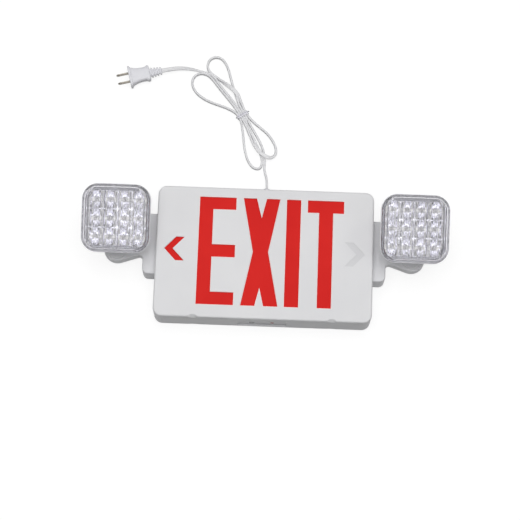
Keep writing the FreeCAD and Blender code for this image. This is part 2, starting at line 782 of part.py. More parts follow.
def make_legend_diffuser():
    """The red sheet behind the legend, with a hole for each stake."""
    body = new_body("legend_diffuser")
    margin = s.legend_margin
    outline = ("rounded", 0, 0, s.sign_width - 2 * margin, s.sign_height - 2 * margin,
               s.corner_radius - margin / 2)
    pad(body, [outline], legend_z, s.legend_thick)
    holes = [("circle", x * stake_x, y * stake_y, s.stake_radius + s.fit_gap)
             for x, y in CORNERS]
    holes += [("circle", 0, y * stake_y, s.stake_radius + s.fit_gap) for y in SIDES]
    pocket(body, holes, legend_z + s.legend_thick, s.legend_thick)
    return keep(body)


def make_reflector_panel():
    """The white panel between the electronics and the legend."""
    body = new_body("reflector_panel")
    inset = s.panel_inset
    wide, tall = s.sign_width - 2 * inset, s.sign_height - 2 * inset
    radius = s.corner_radius - inset
    outline = ("rounded", 0, 0, wide, tall, radius)
    rim = s.panel_thick
    inside = ("rounded", 0, 0, wide - 2 * rim, tall - 2 * rim, radius - rim)
    pad(body, [outline], panel_z, s.panel_rim)
    pocket(body, [inside], panel_z + s.panel_rim, s.panel_rim - s.panel_thick)
    holes = [("circle", x * post_x, y * post_y, s.screw_radius + s.fit_gap)
             for x, y in CORNERS]
    pocket(body, holes, panel_z + s.panel_thick, s.panel_thick)
    wire_slot = ("slot", 0, 0, 3 * s.strip_width, s.strip_width / 4)
    pocket(body, [wire_slot], panel_z + s.panel_thick, s.panel_thick)
    return keep(body)


def make_legend_boards():
    """Two long lamp boards on the reflector panel, and their lamps."""
    board_z = panel_z + s.panel_thick
    lamps = []
    for name, side in (("upper_legend_board", 1), ("lower_legend_board", -1)):
        board = part_box(name, 0, side * s.strip_place, board_z,
                         s.strip_length, s.strip_width, s.board_thick)
        keep(board, name)
    count = int(round(float(s.strip_lamps)))
    pitch = s.strip_length / s.strip_lamps
    for side in SIDES:
        for step in range(count):
            x = (step - (count - 1) / 2) * pitch
            lamps.append(part_box(f"legend_lamp_{len(lamps)}", x, side * s.strip_place,
                                  board_z + s.board_thick, s.lamp_long, s.lamp_wide, s.lamp_tall))
    keep(group("legend_lamps", lamps), "legend_lamps")


def screw(name, x, y, z, length, radius=None):
    """A pan-head screw with its shank down, its head's underside at z."""
    radius = radius or s.screw_radius
    head_tall = radius * 1.3
    shank = part_rod(f"{name}_shank", (x, y, z - length), radius, length)
    head = part_rod(f"{name}_head", (x, y, z), radius * 2.1, head_tall)
    return joined(name, [shank, head])


def make_screws():
    """Screws of the reflector panel, the charger board and the battery strap."""
    screws = [
        screw(f"panel_screw_{n}", x * post_x, y * post_y, panel_z + s.panel_thick,
              s.panel_thick + 4 * s.wall)
        for n, (x, y) in enumerate(CORNERS)
    ]
    keep(group("panel_screws", screws), "panel_screws")
    screws = [
        screw(f"board_screw_{n}", charger_x + x * charger_post_x,
              charger_y + y * charger_post_y, charger_top, s.board_thick + 2 * s.wall)
        for n, (x, y) in enumerate(CORNERS)
    ]
    keep(group("board_screws", screws), "board_screws")


def make_charger():
    """The charger board and what is soldered to it."""
    board = new_body("charger_board")
    outline = ("rounded", charger_x, charger_y, s.charger_length, s.charger_width,
               s.board_thick)
    pad(board, [outline], charger_z, s.board_thick)
    holes = [
        ("circle", charger_x + x * charger_post_x, charger_y + y * charger_post_y,
         s.screw_radius + s.fit_gap)
        for x, y in CORNERS
    ]
    pocket(board, holes, charger_top, s.board_thick)
    keep(board)

    left = charger_x - s.charger_length / 2
    unit = s.charger_width / 8
    core = part_box("transformer_core", left + 3 * unit, charger_y + unit, charger_top,
                    2.6 * unit, 2.2 * unit, 1.6 * unit)
    coil = part_box("transformer_coil", left + 3 * unit, charger_y + unit,
                    charger_top + 0.2 * unit, 1.5 * unit, 3 * unit, 1.2 * unit)
    keep(joined("transformer", [core, coil]), "transformer")

    tall = panel_z - charger_top
    cans = [
        part_rod("large_can", (charger_x + unit, charger_y + 2 * unit, charger_top),
                 0.6 * unit, 0.75 * tall),
        part_rod("small_can", (charger_x + 2.6 * unit, charger_y + 2 * unit, charger_top),
                 0.45 * unit, 0.6 * tall),
        part_rod("output_can", (charger_x + 3.7 * unit, charger_y + 2 * unit, charger_top),
                 0.5 * unit, 0.7 * tall),
    ]
    keep(group("capacitors", cans), "capacitors")

    relay = part_box("relay", charger_x + 2 * unit, charger_y - unit / 2, charger_top,
                     1.8 * unit, 1.2 * unit, 0.6 * tall)
    chip = part_box("chip", charger_x, charger_y - unit, charger_top,
                    unit, 0.6 * unit, 0.25 * unit)
    keep(group("relay_and_chip", [relay, chip]), "relay_and_chip")

    block_body = new_body("terminal_block")
    block_x = charger_x + s.charger_length / 2 - 1.6 * unit
    block(block_body, block_x, charger_y, charger_top, 1.4 * unit, 4 * unit, 0.55 * tall)
    ways = [
        ("circle", block_x, charger_y + step * unit, 0.25 * unit) for step in (-1.4, -0.5, 0.5, 1.4)
    ]
    pocket(block_body, ways, charger_top + 0.55 * tall, 0.3 * tall)
    keep(block_body)

    switch_front = recess_inside + s.run_gap + s.wall / 2 + s.button_travel + s.fit_gap
    switch = new_body("test_switch")
    block(switch, -s.button_place, switch_front + s.board_thick / 2 + s.switch_length / 2,
          charger_top, s.switch_side, s.switch_length, s.switch_axis + s.switch_side / 2)
    rod(switch, (-s.button_place, switch_front, control_z), s.switch_side / 4,
        s.switch_length, "y")
    keep(switch)
    return switch_front


def make_controls():
    """The test button and the charge light in the control recess."""
    button = new_body("test_button")
    start = recess_floor - s.button_proud
    flange_y = recess_inside + s.run_gap
    rod(button, (-s.button_place, start, control_z), s.button_radius,
        flange_y + s.wall / 2 - start, "y")
    rod(button, (-s.button_place, flange_y, control_z), s.button_flange, s.wall / 2, "y")
    soften(button, s.button_radius / 6,
           lambda edge: abs(edge.BoundBox.YMax - float(start)) < NEAR)
    keep(button)

    light = new_body("charge_light")
    light_start = recess_floor - s.button_proud / 2
    rod(light, (s.button_place, light_start, control_z), s.light_radius,
        recess_inside + s.wall - light_start, "y")
    rod(light, (s.button_place, recess_inside, control_z), s.light_radius + s.wall / 2,
        s.wall, "y")
    soften(light, s.light_radius / 2,
           lambda edge: abs(edge.BoundBox.YMax - float(light_start)) < NEAR)
    keep(light)


def make_battery():
    """Three cells in one sleeve, the strap over them and its two screws."""
    low = floor
    cell_z = low + s.cell_radius
    start = battery_y - s.cell_length / 2
    cells = [
        part_rod(f"cell_{n}", (battery_x + (n - 1) * 2 * s.cell_radius, start, cell_z),
                 s.cell_radius, s.cell_length, "y")
        for n in range(3)
    ]
    sleeve = part_box("cell_sleeve", battery_x, battery_y, low,
                      4 * s.cell_radius, s.cell_length, 2 * s.cell_radius)
    keep(joined("battery_pack", cells + [sleeve]), "battery_pack")

    strap = new_body("battery_strap")
    thick = s.strap_thick
    inner = 3 * s.cell_radius + s.fit_gap
    outer = inner + thick
    foot = outer + s.strap_foot
    foot_z = floor + s.wall
    top_z = low + 2 * s.cell_radius + s.fit_gap
    profile = [
        (battery_x - foot, foot_z), (battery_x - inner, foot_z),
        (battery_x - inner, top_z), (battery_x + inner, top_z),
        (battery_x + inner, foot_z), (battery_x + foot, foot_z),
        (battery_x + foot, foot_z + thick), (battery_x + outer, foot_z + thick),
        (battery_x + outer, top_z + thick), (battery_x - outer, top_z + thick),
        (battery_x - outer, foot_z + thick), (battery_x - foot, foot_z + thick),
    ]
    pad(strap, [("polygon", profile)], -battery_y, s.strap_width, "XZ_Plane", middle=True)
    strap_x = s.cell_radius * 3 + s.strap_foot / 2 + s.strap_thick
    holes = [("circle", battery_x + x * strap_x, battery_y, s.screw_radius + s.fit_gap)
             for x in SIDES]
    pocket(strap, holes, foot_z + thick, thick)
    keep(strap)
    screws = [
        screw(f"strap_screw_{n}", battery_x + x * strap_x, battery_y, foot_z + thick,
              thick + s.wall)
        for n, x in enumerate(SIDES)
    ]
    keep(group("strap_screws", screws), "strap_screws")


# ---------------------------------------------------------------- bracket and swivel

def teardrop(inset=0):
    """Outline points and circle of the arm, drawn in from its edge by inset."""
    radius = s.boss_radius - inset
    lean, rise = sine(s.arm_taper), cosine(s.arm_taper)
    touch_x = s.pan_x - radius * lean
    root_x = half_width + s.wing_width / 2
    half_root = radius * rise - (touch_x - root_x) * lean / rise
    half_touch = radius * rise
    points = [
        (root_x, s.pan_y - half_root), (touch_x, s.pan_y - half_touch),
        (touch_x, s.pan_y + half_touch), (root_x, s.pan_y + half_root),
    ]
    return points, (s.pan_x, s.pan_y, radius)


def make_bracket():
    """The right bracket: a hollow wing with a tapering arm that ends in a round boss."""
    body = new_body("right_bracket")
    outer_x = half_width + s.wing_width
    wing = ("polygon", [
        (half_width, -s.wing_bottom), (outer_x, -s.wing_bottom),
        (outer_x, s.wing_top), (half_width, s.wing_top),
    ])
    pad(body, [wing], 0, s.wing_depth)
    soften(body, s.wing_corner,
           lambda edge: upright(edge) and abs(edge.BoundBox.XMax - float(outer_x)) < NEAR)
    points, (x, y, radius) = teardrop()
    pad(body, [("polygon", points)], arm_back, s.arm_depth)
    pad(body, [("circle", x, y, radius)], arm_back, s.arm_depth)
    soften(body, s.arm_fillet,
           lambda edge: upright(edge) and abs(edge.BoundBox.XMax - float(outer_x)) < NEAR
           and abs(edge.BoundBox.ZLength - float(s.arm_depth)) < NEAR)

    def front_edge(edge):
        box = edge.BoundBox
        inner_side = box.XMax < float(half_width) + NEAR
        return level_at(edge, s.wing_depth) and not inner_side

    soften(body, s.wing_round, front_edge)
    thin = s.wing_wall
    cut = s.wing_corner / 2
    hollow = ("polygon", [
        (half_width + thin, thin - s.wing_bottom), (outer_x - thin - cut, thin - s.wing_bottom),
        (outer_x - thin, thin + cut - s.wing_bottom), (outer_x - thin, s.wing_top - thin - cut),
        (outer_x - thin - cut, s.wing_top - thin), (half_width + thin, s.wing_top - thin),
    ])
    pocket(body, [hollow], s.wing_depth - s.arm_skin, s.wing_depth - s.arm_skin)
    points, (x, y, radius) = teardrop(thin)
    pocket(body, [("polygon", points)], arm_hollow, s.arm_depth - s.arm_skin)
    pocket(body, [("circle", x, y, radius)], arm_hollow, s.arm_depth - s.arm_skin)
    pocket(body, [("circle", x, y, s.stem_radius + s.run_gap)], s.wing_depth, s.arm_skin)
    rod(body, (half_width - s.wall, s.pan_y, wire_z), s.lead_hole, 2 * s.wall + thin, "x",
        cut=True)
    for place in side_screw_places:
        rod(body, (half_width - s.wall, place, side_screw_z), s.screw_radius + s.fit_gap,
            2 * s.wall + thin, "x", cut=True)
    return keep(body)


def make_arm_cover():
    """The plate that closes the back of the arm."""
    points, (x, y, radius) = teardrop(s.wing_wall + s.fit_gap)
    outer_x = half_width + s.wing_width
    body = new_body("right_arm_cover")
    pad(body, [("polygon", points)], arm_back, s.cover_thick)
    pad(body, [("circle", x, y, radius)], arm_back, s.cover_thick)
    block(body, outer_x - s.wing_width / 2, s.pan_y, arm_back - s.wall, s.wing_width,
          4 * s.boss_radius, s.cover_thick + 2 * s.wall, cut=True)
    return keep(body)


def make_bracket_screws():
    """Two screws that hold the bracket to the housing's side."""
    screws = []
    for n, y in enumerate(side_screw_places):
        head_x = half_width + s.wing_wall
        shank = part_rod(f"side_shank_{n}", (half_width - 2 * s.wall, y, side_screw_z),
                         s.screw_radius, 2 * s.wall + s.wing_wall, "x")
        head = part_rod(f"side_head_{n}", (head_x, y, side_screw_z),
                        s.screw_radius * 2.1, s.screw_radius * 1.3, "x")
        screws.append(joined(f"side_screw_{n}", [shank, head]))
    keep(group("right_bracket_screws", screws), "right_bracket_screws")


def make_swivel():
    """The swivel base with its ears, its friction washer and its retaining clip."""
    top = s.wing_depth + s.run_gap
    base = new_body("right_swivel_base")
    pad(base, [("circle", s.pan_x, s.pan_y, s.disc_radius)], top, s.disc_thick)
    soften(base, s.disc_thick / 3, lambda edge: level_at(edge, top + s.disc_thick))
    ear_x = s.ear_gap / 2 + s.ear_thick / 2
    for side in SIDES:
        block(base, s.pan_x + side * ear_x, s.pan_y, top + s.disc_thick / 2, s.ear_thick,
              2 * s.ear_radius, hinge_z - top - s.disc_thick / 2)
        rod(base, (s.pan_x + side * ear_x - s.ear_thick / 2, s.pan_y, hinge_z), s.ear_radius,
            s.ear_thick, "x")
    pad(base, [("circle", s.pan_x, s.pan_y, s.stem_radius)], s.wing_depth - s.stem_length,
        s.stem_length + s.disc_thick / 2)
    pocket(base, [("circle", s.pan_x, s.pan_y, s.stem_bore)], top + s.disc_thick,
           s.stem_length + 2 * s.disc_thick)
    rod(base, (s.pan_x - s.ear_gap, s.pan_y, hinge_z), s.pin_radius + s.run_gap,
        2 * s.ear_gap, "x", cut=True)
    washer_low = s.wing_depth - s.arm_skin - s.washer_thick - s.run_gap
    groove_top = washer_low - s.run_gap
    ring = [("circle", s.pan_x, s.pan_y, s.stem_radius + s.wall),
            ("circle", s.pan_x, s.pan_y, s.stem_radius - s.groove_depth)]
    pocket(base, ring, groove_top, s.clip_thick + 2 * s.run_gap)
    keep(base)

    washer = new_body("right_swivel_washer")
    pad(washer, [("circle", s.pan_x, s.pan_y, s.washer_radius),
                 ("circle", s.pan_x, s.pan_y, s.stem_radius + s.run_gap)],
        washer_low + s.run_gap / 2, s.washer_thick)
    keep(washer)

    clip = new_body("right_swivel_clip")
    clip_z = groove_top - s.run_gap - s.clip_thick
    pad(clip, [("circle", s.pan_x, s.pan_y, s.clip_radius),
               ("circle", s.pan_x, s.pan_y, s.stem_radius - s.groove_depth + s.run_gap)],
        clip_z, s.clip_thick)
    block(clip, s.pan_x, s.pan_y - s.clip_radius, clip_z - s.wall, s.stem_radius * 1.6,
          2 * s.clip_radius, s.clip_thick + 2 * s.wall, cut=True)
    keep(clip)


def make_hinge():
    """The bolt and nut on which a lamp head tilts."""
    outer = s.ear_gap / 2 + s.ear_thick
    shank = part_rod("bolt_shank", (s.pan_x - outer, s.pan_y, hinge_z), s.pin_radius,
                     2 * outer + s.nut_thick, "x")
    head = part_rod("bolt_head", (s.pan_x - outer - s.pin_head_tall, s.pan_y, hinge_z),
                    s.pin_head, s.pin_head_tall, "x")
    keep(joined("right_hinge_bolt", [shank, head]), "right_hinge_bolt")
    prism = doc.addObject("Part::Prism", "nut_prism")
    prism.Polygon = 6
    bind(prism, "Circumradius", s.nut_across / math.sqrt(3))
    bind(prism, "Height", s.nut_thick)
    bind_place(prism, (s.pan_x + outer, s.pan_y, hinge_z), (0, 1, 0), 90)
    hole = part_rod("nut_hole", (s.pan_x + outer - s.wall, s.pan_y, hinge_z),
                    s.pin_radius, s.nut_thick + 2 * s.wall, "x")
    keep(less("right_hinge_nut", prism, hole), "right_hinge_nut")


# ---------------------------------------------------------------- lamp head

def seat_head(thing):
    """Put a piece of the lamp head, modelled about its hinge axis, in its place."""
    bind_place(thing, (s.pan_x, s.pan_y, hinge_z), (1, 0, 0), s.rest_tilt)
    return thing


rim_start = s.shell_start + s.shell_taper
rim_top = rim_start + s.shell_rim
lens_top = rim_top + s.lens_rise
lens_side = s.head_side - 2 * (s.rim_wall + s.fit_gap)
tray_side = lens_side - 2 * (s.lens_wall + s.tray_gap)
board_w = s.shell_start + s.shell_wall
board_top = board_w + s.board_thick
cup_top = board_top + s.cup_depth


def head_square(side, radius):
    return ("rounded", 0, s.head_offset, side, side, radius)


def make_lamp_shell():
    """The white shell of a lamp head, with the lug that the hinge bolt goes through."""
    body = new_body("right_lamp_shell")
    taper = (s.head_side - s.shell_back) / 2
    back = head_square(s.shell_back, s.head_corner - taper)
    rim = head_square(s.head_side, s.head_corner)
    loft(body, back, rim, s.shell_start, rim_start)
    pad(body, [rim], rim_start, s.shell_rim)
    soften(body, s.shell_round, lambda edge: level_at(edge, s.shell_start))
    thin = s.shell_wall
    wide = 2 * thin
    ledge = s.rim_wall + s.fit_gap + s.lens_ledge
    loft(body, head_square(s.shell_back - wide, s.head_corner - taper - thin),
         head_square(s.head_side - 2 * ledge, s.head_corner - ledge), board_w, rim_start, cut=True)
    seat = head_square(s.head_side - 2 * s.rim_wall, s.head_corner - s.rim_wall)
    pocket(body, [seat], rim_top, s.shell_rim)
    lug = s.ear_gap - 2 * s.lug_side_gap
    profile = [(-s.ear_radius, 0), (s.ear_radius, 0), (3 * s.ear_radius, board_w - thin / 2),
               (thin, board_w - thin / 2)]
    pad(body, [("polygon", profile)], 0, lug, "YZ_Plane", middle=True)
    rod(body, (-lug / 2, 0, 0), s.ear_radius, lug, "x")
    rod(body, (-s.ear_gap, 0, 0), s.pin_radius + s.run_gap, 2 * s.ear_gap, "x", cut=True)
    pocket(body, [("circle", 0, s.head_offset, s.lead_hole)], board_w, s.shell_wall)
    return keep(seat_head(body))


def make_lens():
    """The clear lens: a square cap over the rim, with flutes moulded inside its front."""
    body = new_body("right_lamp_lens")
    corner = s.head_corner - s.rim_wall - s.fit_gap
    pad(body, [head_square(lens_side, corner)], rim_start, s.shell_rim + s.fit_gap)
    cap = head_square(s.head_side - 2 * s.lens_inset, s.head_corner - s.lens_inset)
    pad(body, [cap], rim_top + s.fit_gap, s.lens_rise - s.fit_gap)
    soften(body, s.lens_round, lambda edge: level_at(edge, lens_top))
    thin = s.lens_wall
    pocket(body, [head_square(lens_side - 2 * thin, corner - thin)], lens_top - thin,
           lens_top - thin - rim_start)
    count = int(round(float(s.flute_count)))
    pitch = (lens_side - 2 * s.lens_round) / s.flute_count
    length = lens_side - 2 * s.lens_round - 2 * s.lens_wall
    front = lens_top - thin
    flutes = []
    for step in range(count):
        x = (step - (count - 1) / 2) * pitch
        half = pitch / 2 - s.fit_gap
        flutes.append(("polygon", [(x - half, front), (x, front - s.flute_height),
                                   (x + half, front)]))
    pad(body, flutes, -s.head_offset, length, "XZ_Plane", middle=True)
    return keep(seat_head(body))


def wedge(name, x, y, grow):
    """A four-sided cup with its small end down, grown outwards by a wall."""
    thing = doc.addObject("Part::Wedge", name)
    base = s.cup_base / 2 + grow
    half_x, half_y = s.cup_width / 2 + grow, s.cup_height / 2 + grow
    for prop, size in (
        ("Xmin", -base), ("Xmax", base), ("Zmin", -base), ("Zmax", base),
        ("X2min", -half_x), ("X2max", half_x), ("Z2min", -half_y), ("Z2max", half_y),
        ("Ymin", as_size(0)), ("Ymax", s.cup_depth),
    ):
        bind(thing, prop, size)
    bind_place(thing, (x, y, cup_top - s.cup_depth), (1, 0, 0), 90)
    return thing


def make_reflector():
    """The bright tray of cups, one round each lamp."""
    columns, rows = int(round(float(s.cup_columns))), int(round(float(s.cup_rows)))
    pitch_x, pitch_y = s.cup_width + s.cup_wall, s.cup_height + s.cup_wall
    shells, hollows = [], []
    for row in range(rows):
        for column in range(columns):
            x = (column - (columns - 1) / 2) * pitch_x
            y = s.head_offset + (row - (rows - 1) / 2) * pitch_y
            shells.append(wedge(f"cup_{row}_{column}", x, y, s.cup_wall / 2))
            hollows.append(wedge(f"cup_hollow_{row}_{column}", x, y, as_size(0)))
    plate = new_body("reflector_plate")
    pad(plate, [head_square(tray_side, s.head_corner - (s.head_side - tray_side) / 2)],
        cup_top - s.tray_thick, s.tray_thick)
    tray = joined("reflector_tray", shells + [plate])
    cups = joined("reflector_hollows", hollows)
    keep(seat_head(less("right_lamp_reflector", tray, cups)), "right_lamp_reflector")


def make_lamp_board():
    """The lamp board of a head, and its lamps."""
    body = new_body("right_lamp_board")
    side = s.shell_back - 2 * s.shell_wall - 4 * s.shell_round * 0.5
    pad(body, [head_square(side, s.head_corner / 2)], board_w, s.board_thick)
    keep(seat_head(body))
    columns, rows = int(round(float(s.cup_columns))), int(round(float(s.cup_rows)))
    pitch_x, pitch_y = s.cup_width + s.cup_wall, s.cup_height + s.cup_wall
    lamps = []
    for row in range(rows):
        for column in range(columns):
            x = (column - (columns - 1) / 2) * pitch_x
            y = s.head_offset + (row - (rows - 1) / 2) * pitch_y
            lamps.append(part_box(f"head_lamp_{row}_{column}", x, y, board_top,
                                  s.lamp_long, s.lamp_wide, s.lamp_tall))
    keep(seat_head(group("right_lamp_lights", lamps)), "right_lamp_lights")


# ---------------------------------------------------------------- opposite hand

def make_left_hand():
    """The left bracket, swivel and lamp head are the right ones mirrored."""
    for thing in list(parts):
        if thing.Label.startswith("right_"):
            label = thing.Label.replace("right_", "left_")
            mirrored = doc.addObject("Part::Mirroring", label)
            mirrored.Source = thing
            mirrored.Base = Vector(0, 0, 0)
            mirrored.Normal = Vector(1, 0, 0)
            keep(mirrored, label)


# ---------------------------------------------------------------- cord

def make_bushing():
    """The bushing that grips the cord where it leaves the top wall."""
    y, z = half_height, s.cord_height
    body = new_body("cord_bushing")
    rod(body, (0, y - s.wall, z), s.bush_radius, 2 * s.wall, "y")
    rod(body, (0, y, z), s.bush_flange, s.wall, "y")
    rod(body, (0, y - 2 * s.wall, z), s.bush_flange, s.wall, "y")
    cone = {"Radius1": s.bush_radius, "Radius2": s.cord_width / 2 + s.wall / 2,
            "Height": s.bush_nose}
    solid_in(body, "Cone", cone, (0, y + s.wall, z), (1, 0, 0), -90)
    rod(body, (0, y - 3 * s.wall, z), s.cord_width / 2, s.bush_nose + 6 * s.wall, "y", cut=True)
    return keep(body)


def rounded_route(points):
    """Straight runs through the points, joined by the largest tangent arcs."""
    edges, start = [], points[0]
    for before, here, after in zip(points, points[1:], points[2:]):
        into, out = here - before, after - here
        turn = into.getAngle(out)
        setback = 0.45 * min(into.Length, out.Length)
        radius = setback / math.tan(turn / 2)
        enter = here - into.normalize() * setback
        leave = here + out.normalize() * setback
        bisector = (leave + enter) * 0.5 - here
        middle = here + bisector.normalize() * (radius / math.cos(turn / 2) - radius)
        edges.append(Part.LineSegment(start, enter).toShape())
        edges.append(Part.Arc(enter, middle, leave).toShape())
        print(f"  turn {math.degrees(turn):5.1f} degrees, radius {radius:6.1f} mm")
        start = leave
    edges.append(Part.LineSegment(start, points[-1]).toShape())
    return Part.Wire(edges)


def cord_tube(label, points):
    """A round tube along a route of straight runs and tangent arcs."""
    print(label)
    route = rounded_route([Vector(*point) for point in points])
    radius = float(s.cord_width) / 2
    first = route.Edges[0]
    start = first.Vertexes[0].Point
    along = first.Vertexes[1].Point - start
    ring = Part.Wire(Part.makeCircle(radius, start, along))
    tube = route.makePipeShell([ring], True, False)
    wanted = math.pi * radius * radius * route.Length
    if abs(tube.Volume / wanted - 1) > 0.01:
        raise RuntimeError(f"{label} has the wrong volume")
    thing = doc.addObject("Part::Feature", label)
    thing.Shape = tube
    return keep(thing, label)


LIE = float(s.cord_width) / 2
OUTLET_Y = float(half_height + s.wall + s.bush_nose)
LEAD_ROUTE = [
    (0, OUTLET_Y, float(s.cord_height)), (0.2, 113.5, 8.6), (-1.6, 124.5, 4.4), (-4.6, 134, LIE),
]
TAIL_ROUTE = [
    (-97, 278.6, LIE), (-110.5, 282.4, LIE), (-127, 283.6, 4.6), (-142.6, 280.8, 7.2),
    (-157, 276.9, 8.5),
]
HANK_OUTLINE = [
    (-4.6, 134), (3, 147), (15, 156), (14, 170), (5, 186), (-12, 201), (-29, 213),
    (-33.5, 219), (-42, 234), (-52, 262), (-60, 291), (-72, 305), (-87, 303), (-96, 291),
    (-97, 278.6), (-112, 277), (-118, 262), (-110, 244), (-90, 231), (-62, 222), (-47, 217),
    (-43, 211), (-43, 190), (-39, 160), (-31, 140), (-17, 131),
]
TIE_PLACE = (-38.3, 215.2)
TIE_TURN = 122
PLUG_TURN = 194.8


def make_hank():
    """The tied hank of spare cord as one solid of its outer shape, and the tie round it."""
    curve = Part.BSplineCurve()
    corners = [Vector(x, y, 0) for x, y in HANK_OUTLINE]
    curve.interpolate(corners, PeriodicFlag=True)
    face = Part.Face(Part.Wire(curve.toShape()))
    solid = face.extrude(Vector(0, 0, float(s.hank_tall)))
    hank = doc.addObject("Part::Feature", "cord_hank")
    hank.Shape = solid
    keep(hank, "cord_hank")
    return hank


def make_tie(hank):
    """The band round the waist of the hank."""
    band = doc.addObject("Part::Box", "tie_band")
    bind(band, "Length", s.tie_width)
    bind(band, "Width", s.tie_reach)
    bind(band, "Height", s.hank_tall + s.tie_thick)
    x, y = TIE_PLACE
    along, across = math.cos(math.radians(TIE_TURN)), math.sin(math.radians(TIE_TURN))
    half, reach = s.tie_width / 2, s.tie_reach / 2
    corner = (x - half * along + reach * across, y - half * across - reach * along, 0)
    bind_place(band, corner, (0, 0, 1), TIE_TURN)
    keep(less("cord_tie", band, hank), "cord_tie")


plug_axis = s.plug_tall / 2


def lay_plug(thing):
    """Put a piece of the plug, modelled along +X, where the tail of the cord ends."""
    x, y, _ = TAIL_ROUTE[-1]
    bind_place(thing, (x, y, 0), (0, 0, 1), PLUG_TURN)
    return thing


def blade_place(side):
    """Corner and sizes of a blade, or of its slot in the plug."""
    root = s.relief_length + s.plug_length - s.blade_root
    corner = (root, side * s.blade_spacing / 2 - s.blade_thick / 2, plug_axis - s.blade_tall / 2)
    sizes = {"Length": s.blade_root + s.blade_length, "Width": s.blade_thick,
             "Height": s.blade_tall}
    return sizes, corner


def make_plug():
    """The moulded plug with its ribbed strain relief, and its two blades."""
    body = new_body("plug_body")
    start, end = s.relief_length, s.relief_length + s.plug_length
    flange = end - s.plug_flange
    half, grip, shoulder = s.plug_width / 2, s.grip_width / 2, s.relief_width * 0.7
    middle = (start + flange) / 2
    outline = [
        (start, -grip), (middle, -grip), (end, -half * 0.76),
        (end, half * 0.76), (middle, grip), (start, grip),
    ]
    pad(body, [("polygon", outline)], plug_axis - s.grip_tall / 2, s.grip_tall)
    low, high = plug_axis - s.grip_tall / 2, plug_axis + s.grip_tall / 2
    soften(body, s.grip_round, lambda edge: level_at(edge, low) or level_at(edge, high))
    pad(body, [("rounded", 0, plug_axis, 2 * shoulder, s.grip_tall, s.plug_corner)],
        start, s.rib_thick, "YZ_Plane")
    pad(body, [("rounded", 0, plug_axis, s.plug_width, s.plug_tall, s.plug_corner)],
        flange, s.plug_flange, "YZ_Plane")
    rod(body, (0, 0, plug_axis), s.cord_width / 2 + s.wall / 2, start + s.rib_thick, "x")
    count = int(round(float(s.relief_ribs)))
    for step in range(count):
        pad(body, [("rounded", 0, plug_axis, s.relief_width, s.relief_tall, s.plug_corner)],
            step * s.relief_length / s.relief_ribs, s.rib_thick, "YZ_Plane")
    for side in SIDES:
        sizes, corner = blade_place(side)
        solid_in(body, "Box", sizes, corner, cut=True)
    keep(lay_plug(body))

    blades = []
    for n, side in enumerate(SIDES):
        blade = doc.addObject("Part::Box", f"blade_{n}")
        sizes, corner = blade_place(side)
        for prop, size in sizes.items():
            bind(blade, prop, size)
        bind_place(blade, corner)
        blades.append(blade)
    keep(lay_plug(group("plug_blades", blades)), "plug_blades")


def make_everything():
    make_housing()
    make_face_plate()
    make_legend_diffuser()
    make_reflector_panel()
    make_legend_boards()
    make_charger()
    make_controls()
    make_battery()
    make_screws()
    make_bracket()
    make_arm_cover()
    make_bracket_screws()
    make_swivel()
    make_hinge()
    make_lamp_shell()
    make_lens()
    make_reflector()
    make_lamp_board()
    make_left_hand()
    make_bushing()
    cord_tube("cord_lead", LEAD_ROUTE)
    cord_tube("cord_tail", TAIL_ROUTE)
    hank = make_hank()
    make_tie(hank)
    make_plug()


def write_parts():
    """Check every object, then write one file for each sub-part."""
    doc.recompute()
    for thing in doc.Objects:
        if "Invalid" in thing.State or "Error" in thing.State:
            raise RuntimeError(f"{thing.Label}: {thing.State}")
    for thing in parts:
        if thing.Shape.isNull() or not thing.Shape.isValid():
            raise RuntimeError(f"{thing.Label} has a bad shape")
    os.makedirs("parts", exist_ok=True)
    for thing in parts:
        thing.Shape.exportStep(f"parts/{thing.Label}.step")
        box = thing.Shape.BoundBox
        print(f"{thing.Label:24s} {len(thing.Shape.Solids):3d} solids "
              f"{thing.Shape.Volume / 1000:8.2f} cm3  {box.XMin:7.1f} {box.XMax:7.1f} "
              f"{box.YMin:7.1f} {box.YMax:7.1f} {box.ZMin:6.1f} {box.ZMax:6.1f}")


make_everything()
write_parts()
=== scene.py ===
"""Looks of a combined emergency exit sign with two swivelling lamp heads and a tied supply cord."""

import math

import bmesh
import bpy
import numpy as np
from mathutils import Matrix, Vector


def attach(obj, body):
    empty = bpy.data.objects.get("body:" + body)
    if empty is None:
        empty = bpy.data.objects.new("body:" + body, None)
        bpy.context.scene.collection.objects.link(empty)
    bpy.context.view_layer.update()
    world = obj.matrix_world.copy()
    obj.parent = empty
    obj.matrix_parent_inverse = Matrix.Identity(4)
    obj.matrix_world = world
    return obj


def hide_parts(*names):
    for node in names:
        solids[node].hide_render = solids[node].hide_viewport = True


MM = 0.001
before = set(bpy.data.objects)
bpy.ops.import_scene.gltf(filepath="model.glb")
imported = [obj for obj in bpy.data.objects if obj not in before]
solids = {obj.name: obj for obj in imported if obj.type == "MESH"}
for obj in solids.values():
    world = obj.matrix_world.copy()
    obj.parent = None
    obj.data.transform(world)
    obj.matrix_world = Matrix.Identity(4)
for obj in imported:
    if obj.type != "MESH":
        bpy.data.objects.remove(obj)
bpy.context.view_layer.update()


# ---------------------------------------------------------------- node groups and finishes


